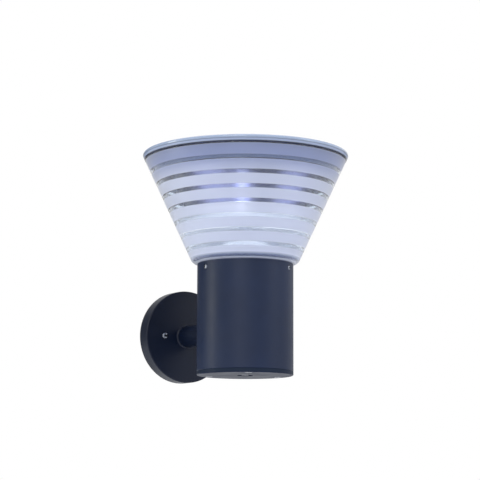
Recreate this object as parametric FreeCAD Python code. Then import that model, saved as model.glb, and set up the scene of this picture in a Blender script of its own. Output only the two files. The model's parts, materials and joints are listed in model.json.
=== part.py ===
import FreeCAD, Part
import math
import os

# Solar fence light: a flared, banded shade with a round solar top, standing on a round body that an arm
# holds off a round wall plate.
#
# Frame, in millimetres. The wall is the plane Y = 0 and the plate's centre is the origin. The light sticks
# out along -Y and +Z is up. What turns about the upright axis of the light is first drawn on Z, with its
# heights counted from the underside of the body, and to_lamp() then moves it to its place. What lies along
# the arm is drawn where it is.

V = FreeCAD.Vector
ORIGIN = V(0, 0, 0)
RIGHT = V(1, 0, 0)
BACK = V(0, 1, 0)
UP = V(0, 0, 1)

# ---- Driving dimensions ---------------------------------------------------------------------------------

# Place of the light on the wall
arm_length = 74.0            # wall plate's front to the nearest line of the body
arm_height = 53.4            # arm axis above the underside of the body

# Fits
slip_fit = 0.3               # gap all round between a spigot and what it slides into
screw_fit = 0.1              # gap all round a screw in its hole
nut_fit = 0.1                # gap all round a rod or tube in its nut
edge_break = 0.4             # chamfer on each side of the seam between tube and cap

# Body
body_d = 108.0
body_wall = 2.5
body_height = 124.5          # underside of the cap to the top of the tube
port_inset = 7.0             # inside of the tube to the middle of each screw port that runs down it
port_d = 8.0
port_web = 4.0
port_gap = 0.4               # port ends to the pieces above and below
clock_angle = -57.5          # first neck screw, counted from +X

# Bottom cap
cap_flange = 4.6
cap_edge = 0.8
cap_spigot_height = 10.0
cap_spigot_wall = 3.7
cap_seal_wire = 2.4
cap_seal_squeeze = 0.4
cap_screw_d = 4.0
cap_screw_length = 25.0
recess_gap = 1.0             # recess round the switch's bezel
recess_depth = 3.4
recess_wall = 2.5
recess_floor = 3.0

# Power switch
switch_thread_d = 12.0
switch_bezel_d = 16.0
switch_bezel = 1.6
switch_barrel_height = 18.6  # above the recess's ceiling
switch_bore_d = 9.0
switch_chamber_d = 10.4
switch_shoulder = 2.0        # shoulder above the recess's ceiling
switch_plug = 7.0
switch_terminal = 4.0
switch_nut_af = 15.0
switch_nut_height = 2.6
switch_seal_t = 0.8
button_d = 8.7
button_proud = 1.4           # button below the bezel at rest, and its travel
button_flange = 1.2
button_gap = 0.05
button_spigot_d = 5.0
button_spigot = 2.5
spring_wire = 0.7
spring_turns = 5
spring_end_gap = 0.1

# Neck, shade clamp and reflector
neck_depth = 18.0
neck_wall = 4.0
neck_web = 4.0
neck_screw_drop = 6.1        # neck screws below the top of the tube
neck_screw_d = 3.0
neck_screw_length = 6.5
neck_head_d = 5.6
neck_head = 1.9
neck_counterbore_d = 6.4
neck_counterbore = 1.3
neck_seal_t = 1.0
neck_seal_inset = 0.6        # seal's edge inside the tube's
clamp_t = 4.0
clamp_gap = 2.4              # clamp edge to the shade's inside
clamp_land = 8.0             # width of the clamp inside the shade's floor
clamp_screw_inset = 3.5      # clamp screws inside the edge of the shade's floor
clamp_screw_d = 3.0
clamp_screw_length = 10.0
reflector_t = 1.6
reflector_rise = 23.5
reflector_land = 4.0
reflector_hub_d = 26.0

# Shade
shade_overhang = 5.3         # cone's foot, before its lip is rounded, beyond the body
shade_top_d = 227.2
shade_height = 116.9
shade_wall = 3.0
shade_floor = 3.0
shade_floor_width = 12.0     # floor inside the tube's edge
shade_lip_r = 7.2
shade_rim = 2.5              # flange under the head seal
shade_rim_gap = 2.5          # flange to the tray that hangs through it
slit_first = 14.2            # first clear slit above the shade's base
band_pitch = 14.7
slit_count = 7
slit_height = 4.2
slit_depth = 1.0

# Head: seal, ring, solar panel and clear cover
head_seal_t = 1.0
head_seal_width = 8.0
cover_ring_t = 3.2
cover_t = 3.8
cover_proud = 0.3            # ring and cover stand out from the line of the cone
cover_edge_r = 2.4
panel_inset = 6.0            # panel's edge inside the circle of head screws
panel_t = 1.1
panel_ledge = 1.5
panel_ledge_width = 5.0
cell_size = 27.4
cell_pitch = 28.6
cell_t = 0.3
ribbon_width = 1.3
ribbon_t = 0.1
cell_margin = 1.0            # cells' corners to the panel's edge
tray_gap = 1.1               # tray to the shade's inside
tray_wall = 2.5
tray_depth = 15.4            # tray floor's underside to the ring's underside
head_screw_inset = 5.5       # head screws inside the tray's edge
head_screw_d = 3.0
head_screw_count = 6
head_boss_d = 7.0
junction_length = 14.0
junction_width = 20.0
junction_height = 3.6
junction_inset = 41.0        # its middle inside the panel's edge

# Battery housing under the tray
housing_depth = 42.0
housing_top_inset = 7.0      # bowl's top edge inside the circle of head screws
holder_room = 2.0            # holder's corners to the foot of the bowl
housing_wall = 2.5
housing_floor = 3.0
housing_flange = 2.5
battery_d = 18.4
battery_length = 65.2
battery_button = 1.5
battery_button_d = 6.0
battery_space = 0.6          # between neighbouring cells
battery_nut_gap = 1.5        # first cell to the corner of the tube's nut
holder_t = 2.0
holder_end = 3.0
holder_end_height = 10.0
board_length = 84.0
board_width = 56.0
board_t = 1.6
board_drop = 14.0            # tray floor's underside to the board's top
board_hole_inset = 5.0
standoff_d = 6.0
board_screw_d = 2.5
board_screw_length = 6.0
connector_length = 10.0
connector_width = 8.0
connector_height = 5.0
capacitor_d = 8.0
capacitor_height = 10.0
capacitor_places = ((-30.0, 10.0), (-30.0, -4.0))
board_blocks = ((-14.0, 6.0, 12.0, 12.0, 6.0), (2.0, -10.0, 9.0, 7.0, 1.8),
                (-12.0, -12.0, 6.0, 5.0, 1.4), (10.0, 12.0, 7.0, 4.0, 2.0))   # x, y, length, width, height

# Light source under the housing
led_cover_depth = 10.0
led_cover_inset = 3.0        # cover's edge inside the housing's foot
led_cover_wall = 2.0
led_board_gap = 3.0          # board's edge to the cover's wall
led_board_t = 2.0
led_size = 3.5
led_t = 0.8
led_ring_inset = 11.0        # outer ring of chips inside the board's edge
led_ring_step = 21.0         # from one ring of chips to the next
led_ring_counts = (20, 12)   # chips in the outer ring, and in the next

# Centre tube
tube_d = 16.0
tube_bore_d = 12.0
tube_nut_af = 24.0
tube_nut_height = 5.0
tube_proud = 1.5

# Arm and its stud
arm_d = 25.0
arm_foot = 1.4               # flare of the arm's end on the plate
arm_seal_t = 1.0
stud_d = 10.0
stud_nut_af = 17.0
stud_nut_height = 6.0
stud_proud = 1.5
stud_washer_d = 20.0
stud_washer_t = 1.6
saddle_d = 24.0
saddle_t = 4.0
stud_hole_fit = 0.3
pin_d = 4.0
pin_offset = 8.5
pin_in_arm = 6.0
pin_in_plate = 4.0

# Wall plate, bracket and gasket
plate_d = 108.0
plate_depth = 16.4           # wall to the plate's front face
plate_wall = 3.0
plate_edge_r = 1.2
plate_boss_d = 32.0
plate_boss = 2.0
plate_screw_x = 30.0
plate_screw_d = 4.0
plate_screw_boss_d = 10.0
plate_head_d = 7.0
plate_head = 2.4
gasket_t = 1.0
bracket_length = 98.0
bracket_width = 22.0
bracket_t = 2.0
bracket_bore_d = 20.0
bracket_collar_d = 7.5
bracket_collar = 2.0
bracket_collar_gap = 0.5     # plate's screw bosses to the bracket's collars
wall_slot_x = 41.0
wall_slot_length = 10.0
wall_slot_width = 5.2

# Leads, all held inside
lead_d = 3.4
thin_lead_d = 2.4
switch_lead_rise = 12.0      # straight out of the switch
switch_lead_slack = 9.0      # sideways loop that lets the cap come off
switch_lead_entry = 6.0      # straight before the centre tube
led_lead_drop = 13.0         # first bend below the socket
led_lead_run = 10.0          # straight before the socket
battery_lead_run = 7.0       # straight out of the holder, and its rise after that
panel_lead_run = 6.0         # straight out of the junction box, and its fall after that
led_lead_at = (7.0, -41.0)   # where it leaves the chips' board
led_plug_at = (0.0, -20.0)
battery_plug_at = (0.0, 20.0)
panel_plug_at = (24.0, 0.0)

# ---- Values worked out from them ------------------------------------------------------------------------

body_r = body_d / 2
body_inner_r = body_r - body_wall
spigot_r = body_inner_r - slip_fit
port_ring_r = body_inner_r - port_inset
reach = plate_depth + arm_length + body_r
shade_base = body_height + neck_seal_t
shade_base_r = body_r + shade_overhang
shade_slope = (shade_top_d / 2 - shade_base_r) / shade_height
shade_wall_across = shade_wall * math.hypot(1, shade_slope)
slit_depth_across = slit_depth * math.hypot(1, shade_slope)
shade_top = shade_base + shade_height
shade_floor_top = shade_base + shade_floor
shade_floor_bore_r = body_r - shade_floor_width
clamp_top = shade_floor_top + clamp_t
clamp_screw_ring_r = shade_floor_bore_r - clamp_screw_inset
ring_base = shade_top + head_seal_t
ring_top = ring_base + cover_ring_t
cover_top = ring_top + cover_t
ledge_top = ring_base + panel_ledge
panel_top = ledge_top + panel_t
cell_top = panel_top + cell_t
tray_base = ring_base - tray_depth
tray_floor_top = tray_base + tray_wall
housing_base = tray_base - housing_depth
housing_floor_top = housing_base + housing_floor
led_cover_base = housing_base - led_cover_depth
led_board_base = housing_base - led_board_t
board_top = tray_base - board_drop
board_base = board_top - board_t
plug_base = board_base - connector_height
neck_base = body_height - neck_depth
web_base = body_height - neck_web
cap_spigot_top = cap_flange + cap_spigot_height
recess_top = recess_depth + recess_floor
switch_top = recess_depth + switch_barrel_height
switch_base_top = switch_top + switch_terminal
shoulder_height = recess_depth + switch_shoulder
button_shaft_top = shoulder_height + button_gap
button_flange_top = button_shaft_top + button_flange
button_tip = recess_depth - switch_bezel - button_proud
tube_base = web_base - tube_nut_height - tube_proud
tube_top = housing_floor_top + tube_nut_height + tube_proud
tube_nut_r = tube_nut_af / math.sqrt(3)
plate_r = plate_d / 2
plate_face = -plate_depth
plate_back = -gasket_t
plate_inside = plate_face + plate_wall
plate_boss_face = plate_inside + plate_boss
collar_face = -bracket_t - bracket_collar
neck_angles = [clock_angle + 120 * turn for turn in range(3)]
port_angles = [angle + 60 for angle in neck_angles]
head_angles = [clock_angle + 360 / head_screw_count * turn for turn in range(head_screw_count)]


def cone_r(height):
    """Outside radius of the shade's cone at a height above the underside of the body."""
    return shade_base_r + (height - shade_base) * shade_slope


def shade_inner_r(height):
    return cone_r(height) - shade_wall_across


tray_r = shade_inner_r(tray_base) - tray_gap
head_screw_ring_r = tray_r - head_screw_inset
panel_r = head_screw_ring_r - panel_inset
housing_flange_r = shade_inner_r(tray_base - housing_flange) - tray_gap
housing_top_r = head_screw_ring_r - housing_top_inset
battery_first_x = tube_nut_r + battery_nut_gap + battery_d / 2
battery_pitch = battery_d + battery_space
holder_length = 2 * (battery_first_x + battery_pitch) + battery_d
holder_width = battery_length + 2 * slip_fit + 2 * holder_end
housing_base_r = math.hypot(holder_length, holder_width) / 2 + holder_room
led_cover_r = housing_base_r - led_cover_inset
led_board_r = led_cover_r - led_cover_wall - led_board_gap
junction_x = panel_r - junction_inset


# ---- Shapes in common -----------------------------------------------------------------------------------

def lathe(points):
    """Solid turned about Z from an outline of (radius, height) points."""
    corners = [V(r, 0, h) for r, h in points]
    return Part.Face(Part.makePolygon(corners + corners[:1])).revolve(ORIGIN, UP, 360)


def disc(radius, low, high):
    return Part.makeCylinder(radius, high - low, V(0, 0, low))


def ring(outer_r, inner_r, low, high):
    return disc(outer_r, low, high).cut(disc(inner_r, low, high))


def rod(radius, near, far, x=0.0, z=0.0):
    """Round bar along Y between two distances from the wall."""
    return Part.makeCylinder(radius, far - near, V(x, near, z), BACK)


def block(size_x, size_y, low, high, x=0.0, y=0.0):
    corner = V(x - size_x / 2, y - size_y / 2, low)
    return Part.makeBox(size_x, size_y, high - low, corner)


def hexagon(across_flats, height):
    corner_r = across_flats / math.sqrt(3)
    corners = [V(corner_r, 0, 0)]
    for turn in range(1, 6):
        angle = math.radians(60 * turn)
        corners.append(V(corner_r * math.cos(angle), corner_r * math.sin(angle), 0))
    return Part.Face(Part.makePolygon(corners + corners[:1])).extrude(V(0, 0, height))


def nut(across_flats, height, hole_r):
    """Hexagon nut on Z with its corners turned off."""
    corner_r = across_flats / math.sqrt(3)
    drop = (corner_r - across_flats / 2) * 0.6
    turned = lathe([(0, 0), (across_flats / 2, 0), (corner_r, drop),
                    (corner_r, height - drop), (across_flats / 2, height), (0, height)])
    return hexagon(across_flats, height).common(turned).cut(disc(hole_r, 0, height))


def turned(shape, angle):
    copy = shape.copy()
    copy.rotate(ORIGIN, UP, angle)
    return copy


def moved(shape, x=0.0, y=0.0, z=0.0):
    copy = shape.copy()
    copy.translate(V(x, y, z))
    return copy


def at_polar(shape, radius, angle, height=0.0):
    a = math.radians(angle)
    return moved(shape, radius * math.cos(a), radius * math.sin(a), height)


def facing_out(shape, radius, angle, height):
    """Shape drawn on +Z, laid along a spoke of the light with its origin at a radius."""
    copy = shape.copy()
    copy.rotate(ORIGIN, BACK, 90)
    copy.translate(V(radius, 0, height))
    return turned(copy, angle)


def facing_front(shape, distance, x=0.0, z=0.0):
    """Shape drawn on +Z, laid along -Y with its origin at a distance from the wall."""
    copy = shape.copy()
    copy.rotate(ORIGIN, RIGHT, 90)
    copy.translate(V(x, distance, z))
    return copy


def cross_recess(head_d, top, depth):
    """Cross for a screwdriver, cut down from the top of a head."""
    width = head_d * 0.16
    span = head_d * 0.56
    return block(span, width, top - depth, top).fuse(block(width, span, top - depth, top))


def round_screw(d, length, head_d, head):
    """Screw on Z with a domed head above Z = 0 and its shank below."""
    shoulder = head * 0.55
    dome_r = head_d / 2 - (head - shoulder)
    head_solid = lathe([(0, 0), (head_d / 2, 0), (head_d / 2, shoulder), (dome_r, head), (0, head)])
    shank = disc(d / 2, -length, 0)
    return head_solid.fuse(shank).cut(cross_recess(head_d, head, head * 0.6)).removeSplitter()


def flat_screw(d, length, head_d):
    """Countersunk screw on Z, with its flat head level with Z = 0 and its shank below."""
    drop = (head_d - d) / 2
    outline = [(0, 0), (head_d / 2, 0), (d / 2, -drop), (d / 2, -length), (0, -length)]
    return lathe(outline).cut(cross_recess(head_d, 0, drop * 0.7))


def path_of(points):
    """Straight runs through the points, joined by tangent arcs as large as the runs allow."""
    edges = []
    start = points[0]
    for before, corner, after in zip(points, points[1:], points[2:]):
        run_in = before.sub(corner)
        run_out = after.sub(corner)
        turn = math.pi - run_in.getAngle(run_out)
        cut_back = 0.45 * min(run_in.Length, run_out.Length)
        arc_r = cut_back / math.tan(turn / 2)
        first = corner.add(V(run_in).normalize().multiply(cut_back))
        last = corner.add(V(run_out).normalize().multiply(cut_back))
        inward = first.add(last).multiply(0.5).sub(corner)
        gap = arc_r / math.cos(turn / 2) - arc_r
        middle = corner.add(inward.normalize().multiply(gap))
        print("lead bend radius %.1f" % arc_r)
        edges.append(Part.LineSegment(start, first).toShape())
        edges.append(Part.Arc(first, middle, last).toShape())
        start = last
    edges.append(Part.LineSegment(start, points[-1]).toShape())
    return Part.Wire(edges)


def lead(points, d):
    """Round cable along a route."""
    path = path_of(points)
    heading = points[1].sub(points[0])
    section = Part.Wire(Part.makeCircle(d / 2, points[0], heading))
    solid = path.makePipeShell([section], True, False)
    print("lead volume ratio %.4f" % (solid.Volume / (math.pi * d * d / 4 * path.Length)))
    return solid


def to_lamp(shape):
    """Moves what was drawn on the upright axis to its place off the wall."""
    return moved(shape, 0, -reach, -arm_height)


# ---- Wall end -------------------------------------------------------------------------------------------

def wall_gasket():
    return rod(plate_r, plate_back, 0).cut(rod(plate_r - plate_wall, plate_back, 0))


def wall_bracket():
    """Steel strip with two slots for the wall's screws and two tapped collars for the plate's."""
    strip = Part.makeBox(bracket_length, bracket_t, bracket_width,
                         V(-bracket_length / 2, -bracket_t, -bracket_width / 2))
    strip = strip.common(rod(bracket_length / 2, -bracket_t, 0))
    strip = strip.cut(rod(bracket_bore_d / 2, -bracket_t, 0))
    slot_r = wall_slot_width / 2
    straight = wall_slot_length - wall_slot_width
    for side in (-1, 1):
        slot = Part.makeBox(straight, bracket_t, wall_slot_width,
                            V(side * wall_slot_x - straight / 2, -bracket_t, -slot_r))
        for end in (-1, 1):
            slot = slot.fuse(rod(slot_r, -bracket_t, 0, side * wall_slot_x + end * straight / 2))
        strip = strip.cut(slot)
        strip = strip.fuse(rod(bracket_collar_d / 2, collar_face, -bracket_t, side * plate_screw_x))
        strip = strip.cut(rod(plate_screw_d / 2 + screw_fit, collar_face, 0, side * plate_screw_x))
    return strip.removeSplitter()


def wall_plate():
    """Round cup, open towards the wall, with a boss for the stud and two for the screws."""
    inner_r = plate_r - plate_wall
    shell = rod(plate_r, plate_face, plate_back)
    front = [e for e in shell.Edges if abs(e.BoundBox.YMax - plate_face) < 0.01 and e.Closed]
    shell = shell.makeFillet(plate_edge_r, front)
    shell = shell.cut(rod(inner_r, plate_inside, plate_back))
    shell = shell.fuse(rod(plate_boss_d / 2, plate_inside, plate_boss_face))
    for side in (-1, 1):
        boss_end = collar_face - bracket_collar_gap
        shell = shell.fuse(rod(plate_screw_boss_d / 2, plate_inside, boss_end, side * plate_screw_x))
        shell = shell.cut(rod(plate_screw_d / 2 + screw_fit, plate_face, plate_back, side * plate_screw_x))
    shell = shell.cut(rod(stud_d / 2 + stud_hole_fit, plate_face, plate_back))
    pin_hole = rod(pin_d / 2 + screw_fit, plate_face, plate_face + pin_in_plate, 0, -pin_offset)
    return shell.cut(pin_hole).removeSplitter()


def plate_screws():
    screw = round_screw(plate_screw_d, plate_depth - 0.5, plate_head_d, plate_head)
    return [facing_front(screw, plate_face, side * plate_screw_x) for side in (-1, 1)]


# ---- Arm ------------------------------------------------------------------------------------------------

def lamp_cylinder(radius):
    """Upright cylinder on the light's axis, tall enough to cut the arm's end."""
    return Part.makeCylinder(radius, 2 * arm_d, V(0, -reach, -arm_d))


def arm():
    bar = rod(arm_d / 2, -reach, plate_face)
    foot = Part.makeCone(arm_d / 2, arm_d / 2 + arm_foot, arm_foot, V(0, plate_face - arm_foot, 0), BACK)
    bar = bar.fuse(foot).cut(lamp_cylinder(body_r + arm_seal_t))
    bar = bar.cut(rod(stud_d / 2 + stud_hole_fit, -reach, plate_face))
    wall_pin = rod(pin_d / 2 + screw_fit, plate_face - pin_in_arm, plate_face, 0, -pin_offset)
    saddle = -reach + body_r + arm_seal_t
    body_pin = rod(pin_d / 2 + screw_fit, saddle - pin_in_arm, saddle + pin_in_arm, 0, -pin_offset)
    return bar.cut(wall_pin).cut(body_pin)


def arm_seal():
    """Thin saddle between the arm and the tube."""
    pad = rod(arm_d / 2, -reach, -reach + body_r + arm_d)
    pad = pad.common(lamp_cylinder(body_r + arm_seal_t)).cut(lamp_cylinder(body_r))
    pad = pad.cut(rod(stud_d / 2 + stud_hole_fit, -reach, 0))
    return pad.cut(rod(pin_d / 2 + screw_fit, -reach, 0, 0, -pin_offset))


saddle_face = -reach + body_inner_r - saddle_t
stud_inner_end = saddle_face - stud_nut_height - stud_proud
washer_face = plate_boss_face + stud_washer_t
stud_outer_end = washer_face + stud_nut_height + stud_proud


def arm_stud():
    bar = rod(stud_d / 2, stud_inner_end, stud_outer_end)
    ends = [e for e in bar.Edges if e.Closed and len(e.Vertexes) == 1]
    return bar.makeChamfer(0.8, ends)


def stud_nuts():
    one = nut(stud_nut_af, stud_nut_height, stud_d / 2 + nut_fit)
    return [facing_front(one, saddle_face), facing_front(one, washer_face + stud_nut_height)]


def stud_washers():
    """Flat washer in the plate and a saddle washer inside the tube."""
    hole = rod(stud_d / 2 + nut_fit, -reach, 0)
    flat = rod(stud_washer_d / 2, plate_boss_face, washer_face)
    saddle = rod(saddle_d / 2, saddle_face, -reach + body_r).common(lamp_cylinder(body_inner_r))
    pin_room = rod(pin_d / 2 + 2 * screw_fit, -reach, 0, 0, -pin_offset)
    return [flat.cut(hole), saddle.cut(hole).cut(pin_room)]


def locating_pins():
    wall_pin = rod(pin_d / 2, plate_face - pin_in_arm + screw_fit, plate_face + pin_in_plate - screw_fit,
                   0, -pin_offset)
    saddle = -reach + body_r + arm_seal_t
    body_pin = rod(pin_d / 2, -reach + body_inner_r + screw_fit, saddle + pin_in_arm - screw_fit,
                   0, -pin_offset)
    return [wall_pin, body_pin]


# ---- Body -----------------------------------------------------------------------------------------------

def body_tube():
    """Extruded tube with three screw ports inside and the holes of the neck screws and the arm."""
    tube = lathe([(body_inner_r, cap_flange), (body_r - edge_break, cap_flange),
                  (body_r, cap_flange + edge_break), (body_r, body_height), (body_inner_r, body_height)])
    low = cap_spigot_top + port_gap
    high = neck_base - port_gap
    for angle in port_angles:
        port = at_polar(disc(port_d / 2, low, high), port_ring_r, 0)
        web = block(body_inner_r + body_wall / 2 - port_ring_r, port_web, low, high,
                    (body_inner_r + body_wall / 2 + port_ring_r) / 2)
        port = port.fuse(web).cut(at_polar(disc(cap_screw_d / 2 + screw_fit, low, high), port_ring_r, 0))
        tube = tube.fuse(turned(port, angle))
    for angle in neck_angles:
        height = body_height - neck_screw_drop
        hole = disc(neck_screw_d / 2 + screw_fit, -2 * body_wall, body_wall)
        bore = disc(neck_counterbore_d / 2, -neck_counterbore, body_wall)
        tube = tube.cut(facing_out(hole.fuse(bore), body_r, angle, height))
    stud_hole = moved(rod(stud_d / 2 + stud_hole_fit, 0, body_d), 0, 0, arm_height)
    pin_hole = moved(rod(pin_d / 2 + screw_fit, 0, body_d), 0, 0, arm_height - pin_offset)
    return to_lamp(tube.cut(stud_hole).cut(pin_hole).removeSplitter())


def bottom_cap():
    """Cap that plugs the tube, with a recess for the switch and a groove for its seal."""
    inner_r = spigot_r - cap_spigot_wall
    seal_mid = cap_flange + cap_spigot_height / 2
    groove_r = spigot_r + slip_fit + cap_seal_squeeze - cap_seal_wire
    groove_half = cap_seal_wire / 2 + slip_fit
    recess_r = switch_bezel_d / 2 + recess_gap
    cup_r = recess_r + recess_wall
    outline = [(0, recess_depth), (recess_r, recess_depth), (recess_r, 0), (body_r - cap_edge, 0),
               (body_r, cap_edge), (body_r, cap_flange - edge_break), (body_r - edge_break, cap_flange),
               (spigot_r, cap_flange),
               (spigot_r, seal_mid - groove_half), (groove_r, seal_mid - groove_half),
               (groove_r, seal_mid + groove_half), (spigot_r, seal_mid + groove_half),
               (spigot_r, cap_spigot_top), (inner_r, cap_spigot_top), (inner_r, cap_flange),
               (cup_r, cap_flange), (cup_r, recess_top), (0, recess_top)]
    cap = lathe(outline).cut(disc(switch_thread_d / 2 + screw_fit, 0, recess_top))
    hole = countersunk_hole(cap_screw_d, cap_screw_length)
    for angle in port_angles:
        cap = cap.cut(at_polar(hole, port_ring_r, angle))
    return to_lamp(cap)


def countersunk_hole(d, length):
    """What a countersunk screw takes out of a piece that starts at Z = 0 and goes up."""
    head_r = d + screw_fit
    shank_r = d / 2 + screw_fit
    return lathe([(0, 0), (head_r, 0), (shank_r, head_r - shank_r), (shank_r, length), (0, length)])


def cap_seal():
    """Seal squeezed between the groove and the tube, drawn at its fitted width."""
    outer_r = body_inner_r
    inner_r = spigot_r + slip_fit + cap_seal_squeeze - cap_seal_wire
    seal_mid = cap_flange + cap_spigot_height / 2
    half = cap_seal_wire / 2
    soft = half * 0.45
    outline = [(inner_r, seal_mid - soft), (inner_r + soft, seal_mid - half),
               (outer_r - soft, seal_mid - half), (outer_r, seal_mid - soft),
               (outer_r, seal_mid + soft), (outer_r - soft, seal_mid + half),
               (inner_r + soft, seal_mid + half), (inner_r, seal_mid + soft)]
    return to_lamp(lathe(outline))


def cap_screws():
    screw = flat_screw(cap_screw_d, cap_screw_length, 2 * cap_screw_d)
    screw.rotate(ORIGIN, RIGHT, 180)
    return [to_lamp(at_polar(screw, port_ring_r, angle)) for angle in port_angles]


# ---- Power switch ---------------------------------------------------------------------------------------

def switch_barrel():
    barrel = disc(switch_thread_d / 2, recess_depth, switch_top)
    barrel = barrel.fuse(disc(switch_bezel_d / 2, recess_depth - switch_bezel, recess_depth))
    barrel = barrel.cut(disc(switch_bore_d / 2, recess_depth - switch_bezel, shoulder_height))
    barrel = barrel.cut(disc(switch_chamber_d / 2, shoulder_height, switch_top))
    return to_lamp(barrel.removeSplitter())


def switch_base():
    """Plug that closes the barrel, with two terminals on top."""
    plug = disc(switch_chamber_d / 2 - screw_fit, switch_top - switch_plug, switch_top)
    plug = plug.fuse(disc(switch_thread_d / 2, switch_top, switch_top + 1))
    for side in (-1, 1):
        plug = plug.fuse(block(0.8, 2.4, switch_top + 1, switch_base_top, side * 3.6))
    return to_lamp(plug.removeSplitter())


def switch_seal():
    seal = ring(switch_bezel_d / 2, switch_thread_d / 2 + screw_fit, recess_top, recess_top + switch_seal_t)
    return to_lamp(seal)


def switch_nut():
    one = nut(switch_nut_af, switch_nut_height, switch_thread_d / 2 + nut_fit)
    return to_lamp(moved(one, 0, 0, recess_top + switch_seal_t))


def power_button():
    """Push button with a dished tip, a flange that keeps it in and a spigot for its spring."""
    r = button_d / 2
    dish = 0.35
    flange_r = switch_chamber_d / 2 - 0.15
    outline = [(0, button_tip + dish), (r * 0.6, button_tip), (r - 0.5, button_tip), (r, button_tip + 0.5),
               (r, button_shaft_top), (flange_r, button_shaft_top), (flange_r, button_flange_top),
               (button_spigot_d / 2, button_flange_top),
               (button_spigot_d / 2, button_flange_top + button_spigot),
               (0, button_flange_top + button_spigot)]
    return to_lamp(lathe(outline))


def button_spring():
    """Coil of round wire between the button's flange and the plug, wound in quarter turns."""
    mean_r = (switch_chamber_d / 2 + button_spigot_d / 2) / 2
    low = button_flange_top + spring_end_gap + spring_wire / 2
    high = switch_top - switch_plug - spring_end_gap - spring_wire / 2
    climb = (high - low) / spring_turns

    def point(turns):
        angle = 2 * math.pi * turns
        return V(mean_r * math.cos(angle), mean_r * math.sin(angle), low + climb * turns)

    arcs = []
    for quarter in range(4 * spring_turns):
        start = quarter / 4
        arcs.append(Part.Arc(point(start), point(start + 0.125), point(start + 0.25)).toShape())
    path = Part.Wire(arcs)
    heading = V(0, 2 * math.pi * mean_r, climb)
    section = Part.Wire(Part.makeCircle(spring_wire / 2, point(0), heading))
    print("spring gap between turns %.2f" % (climb - spring_wire))
    return to_lamp(path.makePipeShell([section], True, False))


# ---- Neck, shade and reflector --------------------------------------------------------------------------

def neck_ring():
    """Ring in the top of the tube that the neck screws hold."""
    skirt_r = spigot_r - neck_wall
    outline = [(tube_d / 2 + nut_fit, web_base), (skirt_r, web_base), (skirt_r, neck_base),
               (spigot_r, neck_base), (spigot_r, body_height), (tube_d / 2 + nut_fit, body_height)]
    neck = lathe(outline)
    height = body_height - neck_screw_drop
    for angle in neck_angles:
        hole = disc(neck_screw_d / 2 + screw_fit, -neck_counterbore - neck_screw_length, 0)
        neck = neck.cut(facing_out(hole, body_r, angle, height))
        clamp_hole = disc(clamp_screw_d / 2 + screw_fit, web_base, body_height)
        neck = neck.cut(at_polar(clamp_hole, clamp_screw_ring_r, angle))
    return to_lamp(neck)


def neck_screws():
    screw = round_screw(neck_screw_d, neck_screw_length, neck_head_d, neck_head)
    height = body_height - neck_screw_drop
    return [to_lamp(facing_out(screw, body_r - neck_counterbore, angle, height)) for angle in neck_angles]


def neck_seal():
    return to_lamp(ring(body_r - neck_seal_inset, shade_floor_bore_r, body_height, shade_base))


def shade():
    """Clear cone, smooth outside, with frosted bands inside and a shallow clear slit between each two."""
    outline = [(shade_floor_bore_r, shade_base), (shade_floor_bore_r, shade_floor_top),
               (shade_inner_r(shade_floor_top), shade_floor_top)]
    for count in range(slit_count):
        middle = shade_base + slit_first + band_pitch * count
        low = middle - slit_height / 2
        high = middle + slit_height / 2
        outline += [(shade_inner_r(low), low), (shade_inner_r(low) + slit_depth_across, low),
                    (shade_inner_r(high) + slit_depth_across, high), (shade_inner_r(high), high)]
    rim_base = shade_top - shade_rim
    rim_bore_r = tray_r + shade_rim_gap
    outline += [(shade_inner_r(rim_base), rim_base), (rim_bore_r, rim_base), (rim_bore_r, shade_top),
                (cone_r(shade_top), shade_top), (shade_base_r, shade_base)]
    cone = lathe(outline)
    lip = [e for e in cone.Edges
           if e.Closed and abs(e.BoundBox.ZMax - shade_base) < 0.01 and e.BoundBox.XMax > body_r]
    return to_lamp(cone.makeFillet(shade_lip_r, lip))


def shade_clamp():
    """Dark ring that holds the shade's floor down on the neck."""
    outer_r = shade_inner_r(shade_floor_top) - clamp_gap
    clamp = ring(outer_r, shade_floor_bore_r - clamp_land, shade_floor_top, clamp_top)
    for angle in neck_angles:
        hole = disc(clamp_screw_d / 2 + screw_fit, shade_floor_top, clamp_top)
        clamp = clamp.cut(at_polar(hole, clamp_screw_ring_r, angle))
    return to_lamp(clamp)


def clamp_screws():
    screw = round_screw(clamp_screw_d, clamp_screw_length, 2 * clamp_screw_d - 0.4, 2.0)
    return [to_lamp(at_polar(screw, clamp_screw_ring_r, angle, clamp_top)) for angle in neck_angles]


def reflector():
    """White cone that spreads the light outwards, resting on the clamp."""
    rim_r = shade_inner_r(shade_floor_top) - clamp_gap - 1
    hub_r = reflector_hub_d / 2
    bore_r = tube_d / 2 + nut_fit
    hub_top = clamp_top + reflector_rise
    land_r = rim_r - reflector_land
    outline = [(rim_r, clamp_top), (rim_r, clamp_top + reflector_t), (land_r, clamp_top + reflector_t),
               (hub_r, hub_top), (bore_r, hub_top), (bore_r, hub_top - reflector_t),
               (hub_r, hub_top - reflector_t), (land_r, clamp_top)]
    return to_lamp(lathe(outline))


def centre_tube():
    return to_lamp(ring(tube_d / 2, tube_bore_d / 2, tube_base, tube_top))


def tube_nuts():
    """One pulls under the neck, one on the housing's floor, and one holds the chips' cover up."""
    one = nut(tube_nut_af, tube_nut_height, tube_d / 2 + nut_fit)
    bases = (web_base - tube_nut_height, led_cover_base - tube_nut_height, housing_floor_top)
    return [to_lamp(moved(one, 0, 0, base)) for base in bases]


# ---- Light source ---------------------------------------------------------------------------------------

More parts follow.
